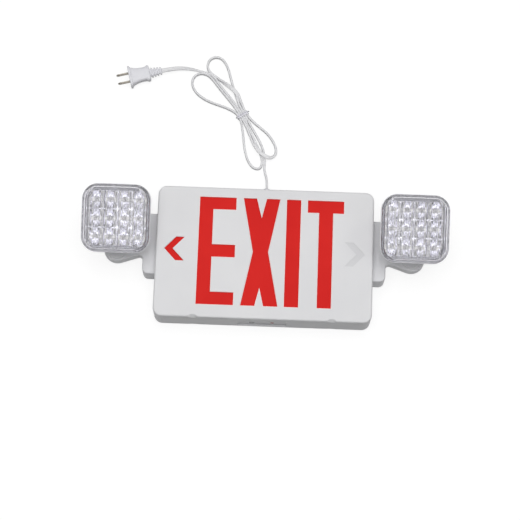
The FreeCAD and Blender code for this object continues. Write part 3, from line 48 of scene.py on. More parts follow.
class Wiring:
    """Adds nodes to its tree and joins them."""

    def add(self, kind, **facts):
        node = self.tree.nodes.new(kind)
        for key, value in facts.items():
            setattr(node, key, value)
        return node

    def join(self, source, target):
        self.tree.links.new(source, target)

    def math(self, operation, *values):
        """The result of a sum on numbers or sockets."""
        node = self.add("ShaderNodeMath", operation=operation)
        for socket, value in zip(node.inputs, values):
            if isinstance(value, (int, float)):
                socket.default_value = value
            else:
                self.join(value, socket)
        return node.outputs[0]

    def spread(self, value, low, high, floor=0.0, top=1.0):
        """A value carried from one range to another."""
        node = self.add("ShaderNodeMapRange")
        self.join(value, node.inputs["Value"])
        for label, number in (("From Min", low), ("From Max", high), ("To Min", floor), ("To Max", top)):
            node.inputs[label].default_value = number
        return node.outputs["Result"]

    def seen_as_backdrop(self):
        """One where the eye, a gloss or a clear part sees the surface."""
        rays = self.add("ShaderNodeLightPath").outputs
        seen = self.math("MAXIMUM", rays["Is Camera Ray"], rays["Is Glossy Ray"])
        return self.math("MAXIMUM", seen, rays["Is Transmission Ray"])


class Effect(Wiring):
    """A shared effect: a shader node group with named inputs and outputs."""

    def __init__(self, name, inputs, outputs):
        self.tree = bpy.data.node_groups.new(name, "ShaderNodeTree")
        for label, value in inputs:
            socket = self.tree.interface.new_socket(label, in_out="INPUT", socket_type="NodeSocketFloat")
            socket.default_value = value
        for label in outputs:
            self.tree.interface.new_socket(label, in_out="OUTPUT", socket_type="NodeSocketFloat")
        self.given = self.tree.nodes.new("NodeGroupInput").outputs
        self.made = self.tree.nodes.new("NodeGroupOutput").inputs

    def noise(self, scale, detail=3.0, stretch=None):
        where = self.add("ShaderNodeTexCoord").outputs["Object"]
        if stretch:
            mapping = self.add("ShaderNodeMapping")
            mapping.inputs["Scale"].default_value = stretch
            self.join(where, mapping.inputs["Vector"])
            where = mapping.outputs["Vector"]
        noise = self.add("ShaderNodeTexNoise")
        noise.inputs["Detail"].default_value = detail
        self.join(where, noise.inputs["Vector"])
        if isinstance(scale, (int, float)):
            noise.inputs["Scale"].default_value = scale
        else:
            self.join(scale, noise.inputs["Scale"])
        return noise.outputs["Fac"]


def build_moulded_skin():
    """Fine grain of moulded plastic, with a slow drift of tone across the moulding."""
    made = Effect("moulded skin", [("Grain Size", 900.0), ("Drift Size", 14.0)], ["Grain", "Drift", "Gloss"])
    grain = made.noise(made.given["Grain Size"], 2.0)
    drift = made.noise(made.given["Drift Size"], 3.0)
    made.join(made.spread(grain, 0.3, 0.7), made.made["Grain"])
    made.join(made.spread(drift, 0.3, 0.7), made.made["Drift"])
    mixed = made.math("MULTIPLY", grain, 0.35)
    made.join(made.math("ADD", mixed, made.math("MULTIPLY", drift, 0.65)), made.made["Gloss"])
    return made.tree


def build_settled_dust():
    """Light dust that gathers on faces that look up."""
    made = Effect("settled dust", [("Amount", 0.2)], ["Dust"])
    up = made.add("ShaderNodeSeparateXYZ")
    made.join(made.add("ShaderNodeNewGeometry").outputs["Normal"], up.inputs[0])
    facing = made.spread(up.outputs["Z"], 0.2, 1.0)
    patches = made.spread(made.noise(55.0, 4.0), 0.42, 0.7)
    made.join(made.math("MULTIPLY", made.math("MULTIPLY", facing, patches), made.given["Amount"]),
              made.made["Dust"])
    return made.tree


def build_drawn_metal():
    """Streaks that rolling and drawing leave on metal."""
    made = Effect("drawn metal", [("Streak Size", 260.0)], ["Streak", "Tarnish"])
    streak = made.noise(made.given["Streak Size"], 2.0, stretch=(0.12, 1.0, 1.0))
    made.join(made.spread(streak, 0.3, 0.7), made.made["Streak"])
    made.join(made.spread(made.noise(120.0, 4.0), 0.45, 0.75), made.made["Tarnish"])
    return made.tree


def build_print_tracks():
    """Copper tracks under the lacquer of a circuit board."""
    made = Effect("board tracks", [("Track Size", 90.0)], ["Track", "Pad"])
    where = made.add("ShaderNodeTexCoord").outputs["Object"]
    brick = made.add("ShaderNodeTexBrick", offset=0.35, squash=1.4)
    made.join(where, brick.inputs["Vector"])
    made.join(made.given["Track Size"], brick.inputs["Scale"])
    brick.inputs["Mortar Size"].default_value = 0.06
    brick.inputs["Mortar Smooth"].default_value = 0.2
    made.join(brick.outputs["Fac"], made.made["Track"])
    cell = made.add("ShaderNodeTexVoronoi")
    made.join(where, cell.inputs["Vector"])
    made.join(made.math("MULTIPLY", made.given["Track Size"], 2.2), cell.inputs["Scale"])
    made.join(made.spread(cell.outputs["Distance"], 0.12, 0.16, 1.0, 0.0), made.made["Pad"])
    return made.tree


EFFECTS = {
    "skin": build_moulded_skin(),
    "dust": build_settled_dust(),
    "drawn": build_drawn_metal(),
    "tracks": build_print_tracks(),
}


class Finish(Wiring):
    """One material: its own shader, fed by the shared effects."""

    def __init__(self, name, **constants):
        self.material = bpy.data.materials.new(name)
        self.material.use_nodes = True
        self.tree = self.material.node_tree
        self.shader = self.tree.nodes["Principled BSDF"]
        self.end = self.tree.nodes["Material Output"]
        for label, value in constants.items():
            self.shader.inputs[label.replace("_", " ")].default_value = value

    def effect(self, which, **values):
        node = self.add("ShaderNodeGroup")
        node.node_tree = EFFECTS[which]
        for label, value in values.items():
            node.inputs[label.replace("_", " ")].default_value = value
        return node.outputs

    def blend(self, mask, low, high):
        """A colour that goes from low to high with the mask; low may be another colour socket."""
        node = self.add("ShaderNodeMix", data_type="RGBA")
        self.join(mask, node.inputs["Factor"])
        for socket, value in ((node.inputs[6], low), (node.inputs[7], high)):
            if isinstance(value, tuple):
                socket.default_value = (*value, 1.0)
            else:
                self.join(value, socket)
        return node.outputs[2]

    def colour(self, socket):
        self.join(socket, self.shader.inputs["Base Color"])

    def roughness(self, mask, low, high):
        self.join(self.spread(mask, 0.0, 1.0, low, high), self.shader.inputs["Roughness"])

    def relief(self, height, strength, distance):
        bump = self.add("ShaderNodeBump")
        bump.inputs["Strength"].default_value = strength
        bump.inputs["Distance"].default_value = distance
        self.join(height, bump.inputs["Height"])
        self.join(bump.outputs["Normal"], self.shader.inputs["Normal"])


def moulded_plastic(name, colour, deep, rough=(0.38, 0.5), grain=900.0, depth=0.00004, dust=0.0, **constants):
    """Moulded plastic: a body colour that drifts a little, fine grain, and dust where asked."""
    finish = Finish(name, **constants)
    skin = finish.effect("skin", Grain_Size=grain)
    tone = finish.blend(skin["Drift"], colour, deep)
    if dust:
        tone = finish.blend(finish.effect("dust", Amount=dust)["Dust"], tone, (0.62, 0.6, 0.57))
    finish.colour(tone)
    finish.roughness(skin["Gloss"], *rough)
    finish.relief(skin["Grain"], 0.25, depth)
    return finish.material


def worked_metal(name, colour, dull, rough=(0.22, 0.42), streak=260.0):
    """Plated or drawn metal with streaks and a little tarnish."""
    finish = Finish(name, Metallic=1.0)
    drawn = finish.effect("drawn", Streak_Size=streak)
    finish.colour(finish.blend(drawn["Tarnish"], colour, dull))
    finish.roughness(drawn["Streak"], *rough)
    finish.relief(drawn["Streak"], 0.15, 0.00004)
    return finish.material


def board_lacquer(name, lacquer, track, pad):
    """Circuit board: lacquer over tracks, with tinned pads."""
    finish = Finish(name, Coat_Weight=0.4, Coat_Roughness=0.15)
    tracks = finish.effect("tracks")
    skin = finish.effect("skin", Grain_Size=1800.0)
    tone = finish.blend(tracks["Track"], lacquer, track)
    finish.colour(finish.blend(tracks["Pad"], tone, pad))
    finish.roughness(skin["Gloss"], 0.3, 0.45)
    finish.relief(tracks["Track"], 0.3, 0.00006)
    return finish.material


def clear_moulding(name, tint):
    """Clear moulded lens: plain transmission, with a trace of flow marks in its surface."""
    finish = Finish(name, Transmission_Weight=1.0, IOR=1.49)
    skin = finish.effect("skin", Grain_Size=300.0, Drift_Size=40.0)
    finish.colour(finish.blend(skin["Drift"], tint, tuple(0.97 * c for c in tint)))
    finish.roughness(skin["Gloss"], 0.03, 0.08)
    finish.relief(skin["Drift"], 0.08, 0.0002)
    let_through = finish.add("ShaderNodeBsdfTransparent")
    let_through.inputs["Color"].default_value = (0.72, 0.72, 0.74, 1)
    mixed = finish.add("ShaderNodeMixShader")
    finish.join(finish.add("ShaderNodeLightPath").outputs["Is Shadow Ray"], mixed.inputs[0])
    finish.join(finish.shader.outputs[0], mixed.inputs[1])
    finish.join(let_through.outputs[0], mixed.inputs[2])
    finish.join(mixed.outputs[0], finish.end.inputs["Surface"])
    return finish.material


def bright_plating(name, colour, haze):
    """Vacuum-plated reflector: near mirror, with faint haze."""
    finish = Finish(name, Metallic=1.0)
    skin = finish.effect("skin", Grain_Size=420.0, Drift_Size=60.0)
    finish.colour(finish.blend(skin["Drift"], colour, haze))
    finish.roughness(skin["Gloss"], 0.06, 0.16)
    finish.relief(skin["Grain"], 0.1, 0.00005)
    return finish.material


FINISHES = {
    "housing_white": moulded_plastic("housing white", (0.70, 0.70, 0.715), (0.665, 0.665, 0.685), dust=0.05),
    "face_white": moulded_plastic("face white", (0.715, 0.715, 0.725), (0.68, 0.68, 0.695),
                                  rough=(0.42, 0.55)),
    "head_white": moulded_plastic("head white", (0.72, 0.72, 0.74), (0.68, 0.68, 0.70), rough=(0.35, 0.48)),
    "arm_grey": moulded_plastic("arm cover grey", (0.70, 0.70, 0.725), (0.66, 0.66, 0.69), rough=(0.4, 0.52)),
    "panel_white": moulded_plastic("reflector panel white", (0.82, 0.82, 0.81), (0.78, 0.78, 0.77),
                                   rough=(0.25, 0.38)),
    "legend_red": moulded_plastic("legend red", (0.70, 0.016, 0.012), (0.64, 0.012, 0.010), rough=(0.5, 0.65),
                                  grain=500.0, Specular_IOR_Level=0.12),
    # Scored arrow's floor: face white painted a little darker, as painted shade in the shallow recess.
    "knockout_painted_shade": moulded_plastic("knockout with painted shade", (0.655, 0.655, 0.665), (0.615, 0.615, 0.63),
                                      rough=(0.5, 0.62)),
    # Letter bevels: pale pink, a painted halo of red glow and highlight round the legend.
    "painted_halo_edge": moulded_plastic("painted halo by the legend", (0.86, 0.76, 0.745), (0.82, 0.71, 0.695),
                                    rough=(0.42, 0.55)),
    "lamp_board_white": board_lacquer("lamp board white", (0.72, 0.72, 0.70), (0.66, 0.66, 0.64),
                                      (0.6, 0.58, 0.52)),
    "board_green": board_lacquer("board green", (0.02, 0.13, 0.05), (0.035, 0.2, 0.08), (0.6, 0.58, 0.52)),
    "lamp_chip": moulded_plastic("lamp chip", (0.86, 0.85, 0.80), (0.82, 0.81, 0.75), rough=(0.3, 0.4),
                                 grain=2400.0),
    "core_iron": worked_metal("transformer iron", (0.32, 0.31, 0.30), (0.2, 0.18, 0.16), rough=(0.4, 0.6)),
    "can_sleeve": moulded_plastic("capacitor sleeve", (0.03, 0.04, 0.09), (0.02, 0.03, 0.07),
                                  rough=(0.25, 0.4)),
    "black_plastic": moulded_plastic("black plastic", (0.022, 0.022, 0.024), (0.03, 0.03, 0.032),
                                     rough=(0.35, 0.5)),
    "terminal_green": moulded_plastic("terminal green", (0.03, 0.24, 0.08), (0.025, 0.2, 0.07)),
    "button_grey": moulded_plastic("button grey", (0.42, 0.42, 0.43), (0.37, 0.37, 0.38)),
    "pipe_red": moulded_plastic("light pipe red", (0.6, 0.05, 0.03), (0.5, 0.03, 0.02), rough=(0.12, 0.2),
                                Transmission_Weight=0.4),
    "sleeve_blue": moulded_plastic("battery sleeve", (0.03, 0.12, 0.42), (0.02, 0.1, 0.36),
                                   rough=(0.22, 0.34)),
    "zinc": worked_metal("zinc plate", (0.68, 0.68, 0.70), (0.48, 0.48, 0.5)),
    "lens_clear": clear_moulding("lens clear", (0.90, 0.895, 0.92)),
    "reflector_bright": bright_plating("reflector bright", (0.82, 0.82, 0.845), (0.72, 0.72, 0.75)),
    "cord_white": moulded_plastic("cord white", (0.78, 0.78, 0.79), (0.73, 0.73, 0.75), rough=(0.45, 0.6),
                                  grain=1400.0, dust=0.04),
    "plug_white": moulded_plastic("plug white", (0.77, 0.77, 0.80), (0.73, 0.73, 0.77), rough=(0.36, 0.5)),
    "tie_white": moulded_plastic("tie white", (0.74, 0.735, 0.78), (0.66, 0.655, 0.71), rough=(0.3, 0.45)),
    "tie_wire": worked_metal("tie wire", (0.12, 0.12, 0.13), (0.08, 0.08, 0.09)),
    "blade_brass": worked_metal("blade brass", (0.30, 0.275, 0.24), (0.16, 0.145, 0.125), rough=(0.3, 0.5),
                                streak=420.0),
}

NODE_FINISHES = {
    "back_housing": "housing_white",
    "face_plate": "face_white",
    "legend_diffuser": "legend_red",
    "reflector_panel": "panel_white",
    "upper_legend_board": "board_green",
    "lower_legend_board": "board_green",
    "legend_lamps": "lamp_chip",
    "charger_board": "board_green",
    "transformer": "core_iron",
    "capacitors": "can_sleeve",
    "relay_and_chip": "black_plastic",
    "terminal_block": "terminal_green",
    "test_switch": "black_plastic",
    "test_button": "button_grey",
    "charge_light": "pipe_red",
    "battery_pack": "sleeve_blue",
    "battery_strap": "zinc",
    "strap_screws": "zinc",
    "panel_screws": "zinc",
    "board_screws": "zinc",
    "cord_bushing": "plug_white",
    "cord_lead": "cord_white",
    "cord_tail": "cord_white",
    "cord_hank": "cord_white",
    "cord_tie": "tie_white",
    "plug_body": "plug_white",
    "plug_blades": "blade_brass",
    "bracket": "head_white",
    "arm_cover": "arm_grey",
    "bracket_screws": "zinc",
    "swivel_base": "head_white",
    "swivel_washer": "black_plastic",
    "swivel_clip": "zinc",
    "hinge_bolt": "zinc",
    "hinge_nut": "zinc",
    "lamp_shell": "head_white",
    "lamp_lens": "lens_clear",
    "lamp_reflector": "reflector_bright",
    "lamp_board": "lamp_board_white",
    "lamp_lights": "lamp_chip",
}


def paint(thing, finish):
    """Gives an object one finish in place of what it had."""
    thing.data.materials.clear()
    thing.data.materials.append(FINISHES[finish])


for solid_name, solid in solids.items():
    plain_name = solid_name.removeprefix("right_").removeprefix("left_")
    paint(solid, NODE_FINISHES[plain_name])


# ---------------------------------------------------------------- camera, floor and lights


CAMERA_TURN, CAMERA_RISE, CAMERA_ROLL = (math.radians(a) for a in (-0.319, 75.26, 1.776))
CAMERA_AIM = Vector((-5.77, 2.68, 0)) * MM
CAMERA_AWAY = 2.4
CAMERA_LENS = 118.335
SENSOR_WIDE = 36


def set_camera():
    """Looks down on the laid-out sign, a little from below it."""
    turn, rise, roll = CAMERA_TURN, CAMERA_RISE, CAMERA_ROLL
    away = Vector((math.sin(turn) * math.cos(rise), math.cos(turn) * math.cos(rise), -math.sin(rise)))
    level = Vector((math.cos(turn), -math.sin(turn), 0))
    steep = level.cross(away)
    right = math.cos(roll) * level + math.sin(roll) * steep
    up = -math.sin(roll) * level + math.cos(roll) * steep
    place = CAMERA_AIM - away * CAMERA_AWAY
    data = bpy.data.cameras.new("studio camera")
    data.sensor_width = SENSOR_WIDE
    data.lens = CAMERA_LENS
    data.clip_end = 20
    camera = bpy.data.objects.new("studio_camera", data)
    camera.matrix_world = Matrix((
        (right.x, up.x, -away.x, place.x),
        (right.y, up.y, -away.y, place.y),
        (right.z, up.z, -away.z, place.z),
        (0, 0, 0, 1),
    ))
    bpy.context.scene.collection.objects.link(camera)
    bpy.context.scene.camera = camera


FLOOR_LEVEL = -0.0004
FLOOR_HALF = 4.0
FLOOR_TONE = 0.22
FLOOR_GLOW = 0.83
AIR_FROM_FOOT, AIR_FROM_TOP = 0.12, 0.38
AIR_IN_GLOSS = 0.58


def lay_floor():
    """Pale paper floor that keeps the shadow of what lies on it and is clear from below."""
    finish = Finish("floor paper", Roughness=0.9)
    finish.shader.inputs["Base Color"].default_value = (FLOOR_TONE, FLOOR_TONE, FLOOR_TONE, 1)
    finish.shader.inputs["Specular IOR Level"].default_value = 0.1
    glow = finish.add("ShaderNodeEmission")
    finish.join(finish.math("MULTIPLY", finish.seen_as_backdrop(), FLOOR_GLOW), glow.inputs["Strength"])
    both = finish.add("ShaderNodeAddShader")
    finish.join(finish.shader.outputs[0], both.inputs[0])
    finish.join(glow.outputs[0], both.inputs[1])
    clear = finish.add("ShaderNodeBsdfTransparent")
    side = finish.add("ShaderNodeNewGeometry").outputs["Backfacing"]
    mixed = finish.add("ShaderNodeMixShader")
    finish.join(side, mixed.inputs[0])
    finish.join(both.outputs[0], mixed.inputs[1])
    finish.join(clear.outputs[0], mixed.inputs[2])
    finish.join(mixed.outputs[0], finish.end.inputs["Surface"])
    shape = bmesh.new()
    bmesh.ops.create_grid(shape, x_segments=2, y_segments=2, size=FLOOR_HALF)
    data = bpy.data.meshes.new("floor")
    shape.to_mesh(data)
    shape.free()
    floor = bpy.data.objects.new("floor", data)
    floor.location.z = FLOOR_LEVEL
    floor.data.materials.append(finish.material)
    bpy.context.scene.collection.objects.link(floor)


def hang_lamp(name, place, aim, size, power):
    """Hangs a soft rectangular lamp at a place, turned to its aim."""
    data = bpy.data.lights.new(name, "AREA")
    data.shape = "RECTANGLE"
    data.size, data.size_y = size
    data.energy = power
    lamp = bpy.data.objects.new(name, data)
    lamp.location = place
    lamp.rotation_euler = (Vector(place) - Vector(aim)).to_track_quat("Z", "Y").to_euler()
    bpy.context.scene.collection.objects.link(lamp)


class Air(Wiring):
    """The air round the part: white to the eye, paler in a gloss, and weaker from the sign's foot."""

    def __init__(self):
        self.world = bpy.data.worlds.new("studio air")
        self.world.use_nodes = True
        self.tree = self.world.node_tree
        air = self.tree.nodes["Background"].inputs
        air["Color"].default_value = (1, 1, 1, 1)
        way = self.add("ShaderNodeSeparateXYZ")
        self.join(self.add("ShaderNodeTexCoord").outputs["Generated"], way.inputs[0])
        fill = self.spread(way.outputs["Y"], -1.0, 1.0, AIR_FROM_FOOT, AIR_FROM_TOP)
        in_gloss = self.math("MULTIPLY", self.seen_as_backdrop(), AIR_IN_GLOSS)
        to_eye = self.add("ShaderNodeLightPath").outputs["Is Camera Ray"]
        self.join(self.math("MAXIMUM", self.math("MAXIMUM", fill, in_gloss), to_eye), air["Strength"])


def light_room():
    """The air, a wide lamp above and a soft lamp on each side."""
    bpy.context.scene.world = Air().world
    hang_lamp("wide lamp above", (-0.05, 0.05, 2.1), (0, 0.03, 0), (2.4, 1.9), 36.0)
    hang_lamp("soft lamp left", (-1.5, -0.3, 1.3), (0, 0, 0), (0.7, 0.7), 1.3)
    hang_lamp("soft lamp right", (1.5, -0.3, 1.3), (0, 0, 0), (0.7, 0.7), 2.6)


bpy.context.scene.view_settings.view_transform = "Standard"
set_camera()
lay_floor()
light_room()


# ---------------------------------------------------------------- mesh helpers


def add_piece(name, shape, finish, body, angle=math.radians(35)):
    """Makes an object of the mesh, smooth except at sharp edges, riding on its body."""
    bmesh.ops.recalc_face_normals(shape, faces=shape.faces)
    data = bpy.data.meshes.new(name)
    shape.to_mesh(data)
    shape.free()
    return place_piece(name, data, finish, body, angle)


def place_piece(name, data, finish, body, angle=math.radians(35)):
    """Makes an object of finished mesh data, smooth except at sharp edges, riding on its body."""
    data.shade_smooth()
    data.set_sharp_from_angle(angle=angle)
    thing = bpy.data.objects.new(name, data)
    bpy.context.scene.collection.objects.link(thing)
    paint(thing, finish)
    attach(thing, body)
    return thing


def bridge(shape, low, high):
    """One band of faces between two closed rings of vertices."""
    count = len(low)
    for i in range(count):
        j = (i + 1) % count
        shape.faces.new((low[i], low[j], high[j], high[i]))


def vertex_rows(shape, rings):
    return [[shape.verts.new(p) for p in ring] for ring in rings]


def skin_rings(shape, rings, close_ends=True):
    """Joins rings of points, each ring closed, into one skin."""
    rows = vertex_rows(shape, rings)
    for low, high in zip(rows, rows[1:]):
        bridge(shape, low, high)
    if close_ends:
        shape.faces.new(list(reversed(rows[0])))
        shape.faces.new(rows[-1])


def grown(outline, by):
    """A closed outline moved out by a distance, with mitred corners; corners run anticlockwise."""
    moved = []
    count = len(outline)
    for i in range(count):
        before, here, after = (Vector(outline[k % count]) for k in (i - 1, i, i + 1))
        first = (here - before).normalized()
        second = (after - here).normalized()
        out_first = Vector((first.y, -first.x))
        out_second = Vector((second.y, -second.x))
        across = (out_first + out_second).normalized()
        moved.append(here + across * by / max(across.dot(out_first), 0.3))
    return moved


def anticlockwise(outline):
    """The same outline with its corners running anticlockwise."""
    area = sum(a[0] * b[1] - b[0] * a[1] for a, b in zip(outline, outline[1:] + outline[:1]))
    return list(outline) if area > 0 else list(reversed(outline))


# ---------------------------------------------------------------- supply cord, tie and plug

OUTLET = (0, 103.2, 11)
LEAD = [(*OUTLET, 90), (0.2, 113.5, 8.6, 90), (-1.6, 124.5, 4.4, 90), (-4.6, 134, 3.1, 90)]
TOP_LOOP = [
    (-4.3, 143, 3.1, 90), (-4.4, 152, 3.1, 90), (-6.2, 161, 3.1, 90), (-9.5, 170.5, 3.1, 90),
    (-14.5, 180, 3.1, 90), (-20, 189.5, 3.1, 90), (-25.8, 199, 3.1, 90), (-32.0, 210.9, 3.1, 90),
    (-35.67, 216.84, 3.1, 90), (-39.4, 222.8, 3.1, 90), (-44.5, 232, 3.1, 90), (-48.3, 242, 3.1, 90),
    (-51.8, 252, 3.1, 90), (-55, 262.5, 3.1, 90), (-58.3, 274, 3.1, 90), (-61.3, 284, 3.1, 90),
    (-65.1, 293, 3.1, 90), (-72, 301.2, 3.1, 90), (-81.5, 302.8, 3.1, 90), (-89.5, 298, 3.1, 90),
    (-92.0, 289, 3.1, 90), (-90.2, 281.2, 3.1, 90), (-82.5, 274.5, 3.1, 90), (-72, 267, 3.6, 80),
    (-62, 259.5, 5.6, 40), (-54.5, 253.5, 7.9, 0), (-47.5, 246.5, 7.6, 5), (-42.5, 236, 4.4, 65),
]
RIGHT_LOOP = [
    (-38.8, 229, 3.1, 90), (-36.8, 224.4, 3.1, 90), (-33.04, 218.49, 3.1, 90), (-29.3, 212.6, 3.1, 90),
    (-22, 205, 3.1, 90), (-12, 197, 3.1, 90), (-2.5, 189.5, 3.1, 90), (5.5, 179.5, 3.1, 90),
    (11, 168.5, 3.1, 90), (11.5, 157.5, 3.9, 75), (4.5, 151.2, 6.2, 35), (-3.5, 152.8, 7.9, 0),
    (-11, 158.5, 7.9, 0), (-17.5, 166.5, 7.4, 15), (-23, 176, 4.6, 65),
]
LEFT_LOOP = [
    (-27.5, 186, 3.1, 90), (-31.5, 196, 3.1, 90), (-37.2, 207.6, 3.1, 90), (-40.93, 213.56, 3.1, 90),
    (-44.6, 219.5, 3.1, 90), (-51.5, 229, 3.1, 90), (-60, 239.5, 3.1, 90), (-69, 249.8, 3.1, 90),
    (-76.5, 259.2, 3.1, 90), (-83, 267.8, 3.1, 90), (-91, 275, 3.1, 90), (-101.5, 277.2, 3.1, 90),
    (-110.5, 271.8, 3.1, 90), (-113.5, 261.5, 3.1, 90), (-109.5, 250.5, 3.1, 90), (-100, 241, 3.1, 90),
    (-87, 233.8, 3.1, 90), (-72, 229, 3.1, 90), (-58, 224, 3.1, 90), (-47.3, 217.9, 3.1, 90),
]
LOWER_LOOP = [
    (-43.56, 211.91, 3.1, 90), (-39.9, 206.0, 3.1, 90), (-38, 196, 3.1, 90), (-36.3, 184, 3.1, 90),
    (-34.8, 172, 3.1, 90), (-32.5, 159, 3.1, 90), (-28.5, 147, 3.1, 90), (-21, 136.5, 3.1, 90),
    (-11.5, 134.8, 3.1, 90), (-8.0, 141.5, 3.1, 90), (-8.3, 150, 3.1, 90), (-11.5, 160, 3.1, 90),
    (-16, 170, 3.1, 90), (-21, 180, 3.1, 90), (-26, 190, 3.1, 90), (-30.5, 200, 3.1, 90),
]
TAIL = [
    (-34.6, 209.3, 3.1, 90), (-38.3, 215.2, 3.1, 90), (-42, 221.1, 3.1, 90), (-48.8, 230.8, 3.1, 90),
    (-57.3, 241.2, 3.1, 90), (-66.1, 251.7, 3.1, 90), (-73.8, 261.2, 3.1, 90), (-80, 269.7, 3.1, 90),
    (-87, 276.3, 3.1, 90), (-97, 278.6, 3.1, 85), (-110.5, 282.4, 3.1, 55), (-127, 283.6, 4.6, 20),
    (-142.6, 280.8, 7.2, 5), (-157, 276.9, 8.5, 0),
]
CORD_POINTS = LEAD + TOP_LOOP + RIGHT_LOOP + LEFT_LOOP + LOWER_LOOP + TAIL
CORD_STEP = 0.0014
CORE_APART, CORE_RADIUS = 1.5, 1.6
WAIST = Vector((-38.3, 215.2))
WAIST_TURN = math.radians(122)
PLUG_TURN = math.radians(194.8)
PLUG_PLACE = Vector((-157, 276.9, 0))
PLUG_LEVEL = 8.5
BLADE_APART, BLADE_HALF_THICK = 12.7, 0.75


def run_cord_line():
    """The cord's centreline as points in metres, read from its spline."""
    data = bpy.data.curves.new("cord line", "CURVE")
    data.dimensions = "3D"
    data.resolution_u = 10
    spline = data.splines.new("NURBS")
    spline.points.add(len(CORD_POINTS) - 1)
    for point, (x, y, z, _) in zip(spline.points, CORD_POINTS):
        point.co = (x * MM, y * MM, z * MM, 1)
    spline.order_u = 3
    spline.use_endpoint_u = True
    thing = bpy.data.objects.new("cord_line", data)
    line = bpy.data.meshes.new_from_object(thing)
    points = np.array([v.co for v in line.vertices])
    bpy.data.objects.remove(thing)
    bpy.data.meshes.remove(line)
    return points


def evenly(points, step):
    """Points spaced evenly along a line, and how far along it each lies."""
    gaps = np.linalg.norm(np.diff(points, axis=0), axis=1)
    along = np.concatenate([[0], np.cumsum(gaps)])
    marks = np.linspace(0, along[-1], max(2, int(along[-1] / step)))
    return np.stack([np.interp(marks, along, points[:, k]) for k in range(3)], axis=1), marks


def cord_twist(points, marks):
    """How far the flat cord stands on its edge at each point, in degrees, from the laid points."""
    control = np.array([p[:3] for p in CORD_POINTS]) * MM
    angles = [p[3] for p in CORD_POINTS]
    found, last = [], 0
    for place in control:
        window = points[last:last + 40]
        last += int(np.argmin(np.linalg.norm(window - place, axis=1)))
        found.append(marks[last])
    twist = np.interp(marks, found, angles)
    kernel = np.ones(7) / 7
    return np.convolve(np.pad(twist, 3, mode="edge"), kernel, mode="valid")


def twin_profile():
    """Section of a twin cord: two round cores side by side with a groove between."""
    half = [(CORE_APART + CORE_RADIUS * math.cos(a), CORE_RADIUS * math.sin(a))
            for a in np.radians(np.linspace(-122, 122, 11))]
    return half + [(-x, -y) for x, y in half]


def build_cord():
    """The twin cord, from the bushing through the tied hank to the plug."""
    points, marks = evenly(run_cord_line(), CORD_STEP)
    twist = np.radians(cord_twist(points, marks))
    ahead = np.gradient(points, axis=0)
    ahead /= np.linalg.norm(ahead, axis=1)[:, None]
    rings = []
    for place, way, turn in zip(points, ahead, twist):
        side = np.cross((0, 0, 1), way)
        side /= np.linalg.norm(side)
        top = np.cross(way, side)
        wide = math.cos(turn) * side + math.sin(turn) * top
        thick = -math.sin(turn) * side + math.cos(turn) * top
        rings.append([place + (a * wide + b * thick) * MM for a, b in twin_profile()])
    shape = bmesh.new()
    skin_rings(shape, rings)
    cord = add_piece("supply_cord", shape, "cord_white", "sign", math.radians(60))
    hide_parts("cord_lead", "cord_hank", "cord_tail")
    return cord, points, float(marks[-1])


def on_waist(along, across, up):
    """A point given along the bundle, across it and up, at the tie."""
    way = Vector((math.cos(WAIST_TURN), math.sin(WAIST_TURN)))
    side = Vector((way.y, -way.x))
    flat = WAIST + way * along + side * across
    return Vector((flat.x, flat.y, up)) * MM


def build_tie():
    """Paper-covered wire tie: a crimped band round the bundle and its two ends twisted together."""
    shape = bmesh.new()
    half_wide, low, high, corner = 8.5, 0.85, 7.3, 1.6
    loop = []
    for cx, cz, start in ((half_wide - corner, high - corner, 0), (-half_wide + corner, high - corner, 90),
                          (-half_wide + corner, low + corner, 180), (half_wide - corner, low + corner, 270)):
        for step in range(6):
            a = math.radians(start + 18 * step)
            loop.append((cx + corner * math.cos(a), cz + corner * math.sin(a), math.cos(a), math.sin(a)))
    rows = []
    for along, swell in ((-2.6, 0), (-2.4, 0.35), (-0.5, 0.35), (0, 0.75), (0.5, 0.35), (2.4, 0.35), (2.6, 0),
                         (2.4, -0.1), (0, -0.1), (-2.4, -0.1)):
        rows.append([on_waist(along + 0.1 * math.sin(0.9 * k), x + swell * nx, z + swell * nz)
                     for k, (x, z, nx, nz) in enumerate(loop)])
    rows = vertex_rows(shape, rows)
    for inner, outer in zip(rows, rows[1:] + rows[:1]):
        bridge(shape, inner, outer)
    tie = add_piece("cord_tie_band", shape, "tie_white", "sign")
    shape = bmesh.new()
    rings = []
    for step in range(41):
        t = step / 40
        across = -9.2 + 18.4 * t
        turn = t * 5 * math.pi
        wide = 1.3 * (1 - 0.25 * abs(2 * t - 1))
        lift = 8.1 - 1.4 * max(0.0, abs(2 * t - 1) - 0.75) * 4
        ring = []
        for k in range(10):
            a = 2 * math.pi * k / 10
            u, v = wide * math.cos(a), 0.38 * math.sin(a)
            ring.append(on_waist(u * math.cos(turn) - v * math.sin(turn) + 0.8 * math.sin(3 * t),
                                 across, lift + u * math.sin(turn) + v * math.cos(turn)))
        rings.append(ring)
    skin_rings(shape, rings)
    twist = add_piece("cord_tie_twist", shape, "tie_white", "sign")
    shape = bmesh.new()
    for side in (-1, 1):
        rings = []
        for step in range(7):
            t = step / 6
            radius = 0.55 * math.sqrt(max(0.02, 1 - (2 * t - 1) ** 2)) + 0.15
            rings.append([on_waist(radius * math.cos(a), side * (9.0 + 2.0 * t),
                                   6.9 + radius * math.sin(a) - 0.8 * t)
                          for a in np.linspace(0, 2 * math.pi, 9)[:-1]])
        skin_rings(shape, rings)
    ends = add_piece("cord_tie_ends", shape, "tie_wire", "sign")
    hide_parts("cord_tie")
    return [tie, twist, ends]


def on_plug(x, y, z):
    """A point given along the plug, across it and up."""
    c, s = math.cos(PLUG_TURN), math.sin(PLUG_TURN)
    return (PLUG_PLACE + Vector((x * c - y * s, x * s + y * c, z))) * MM


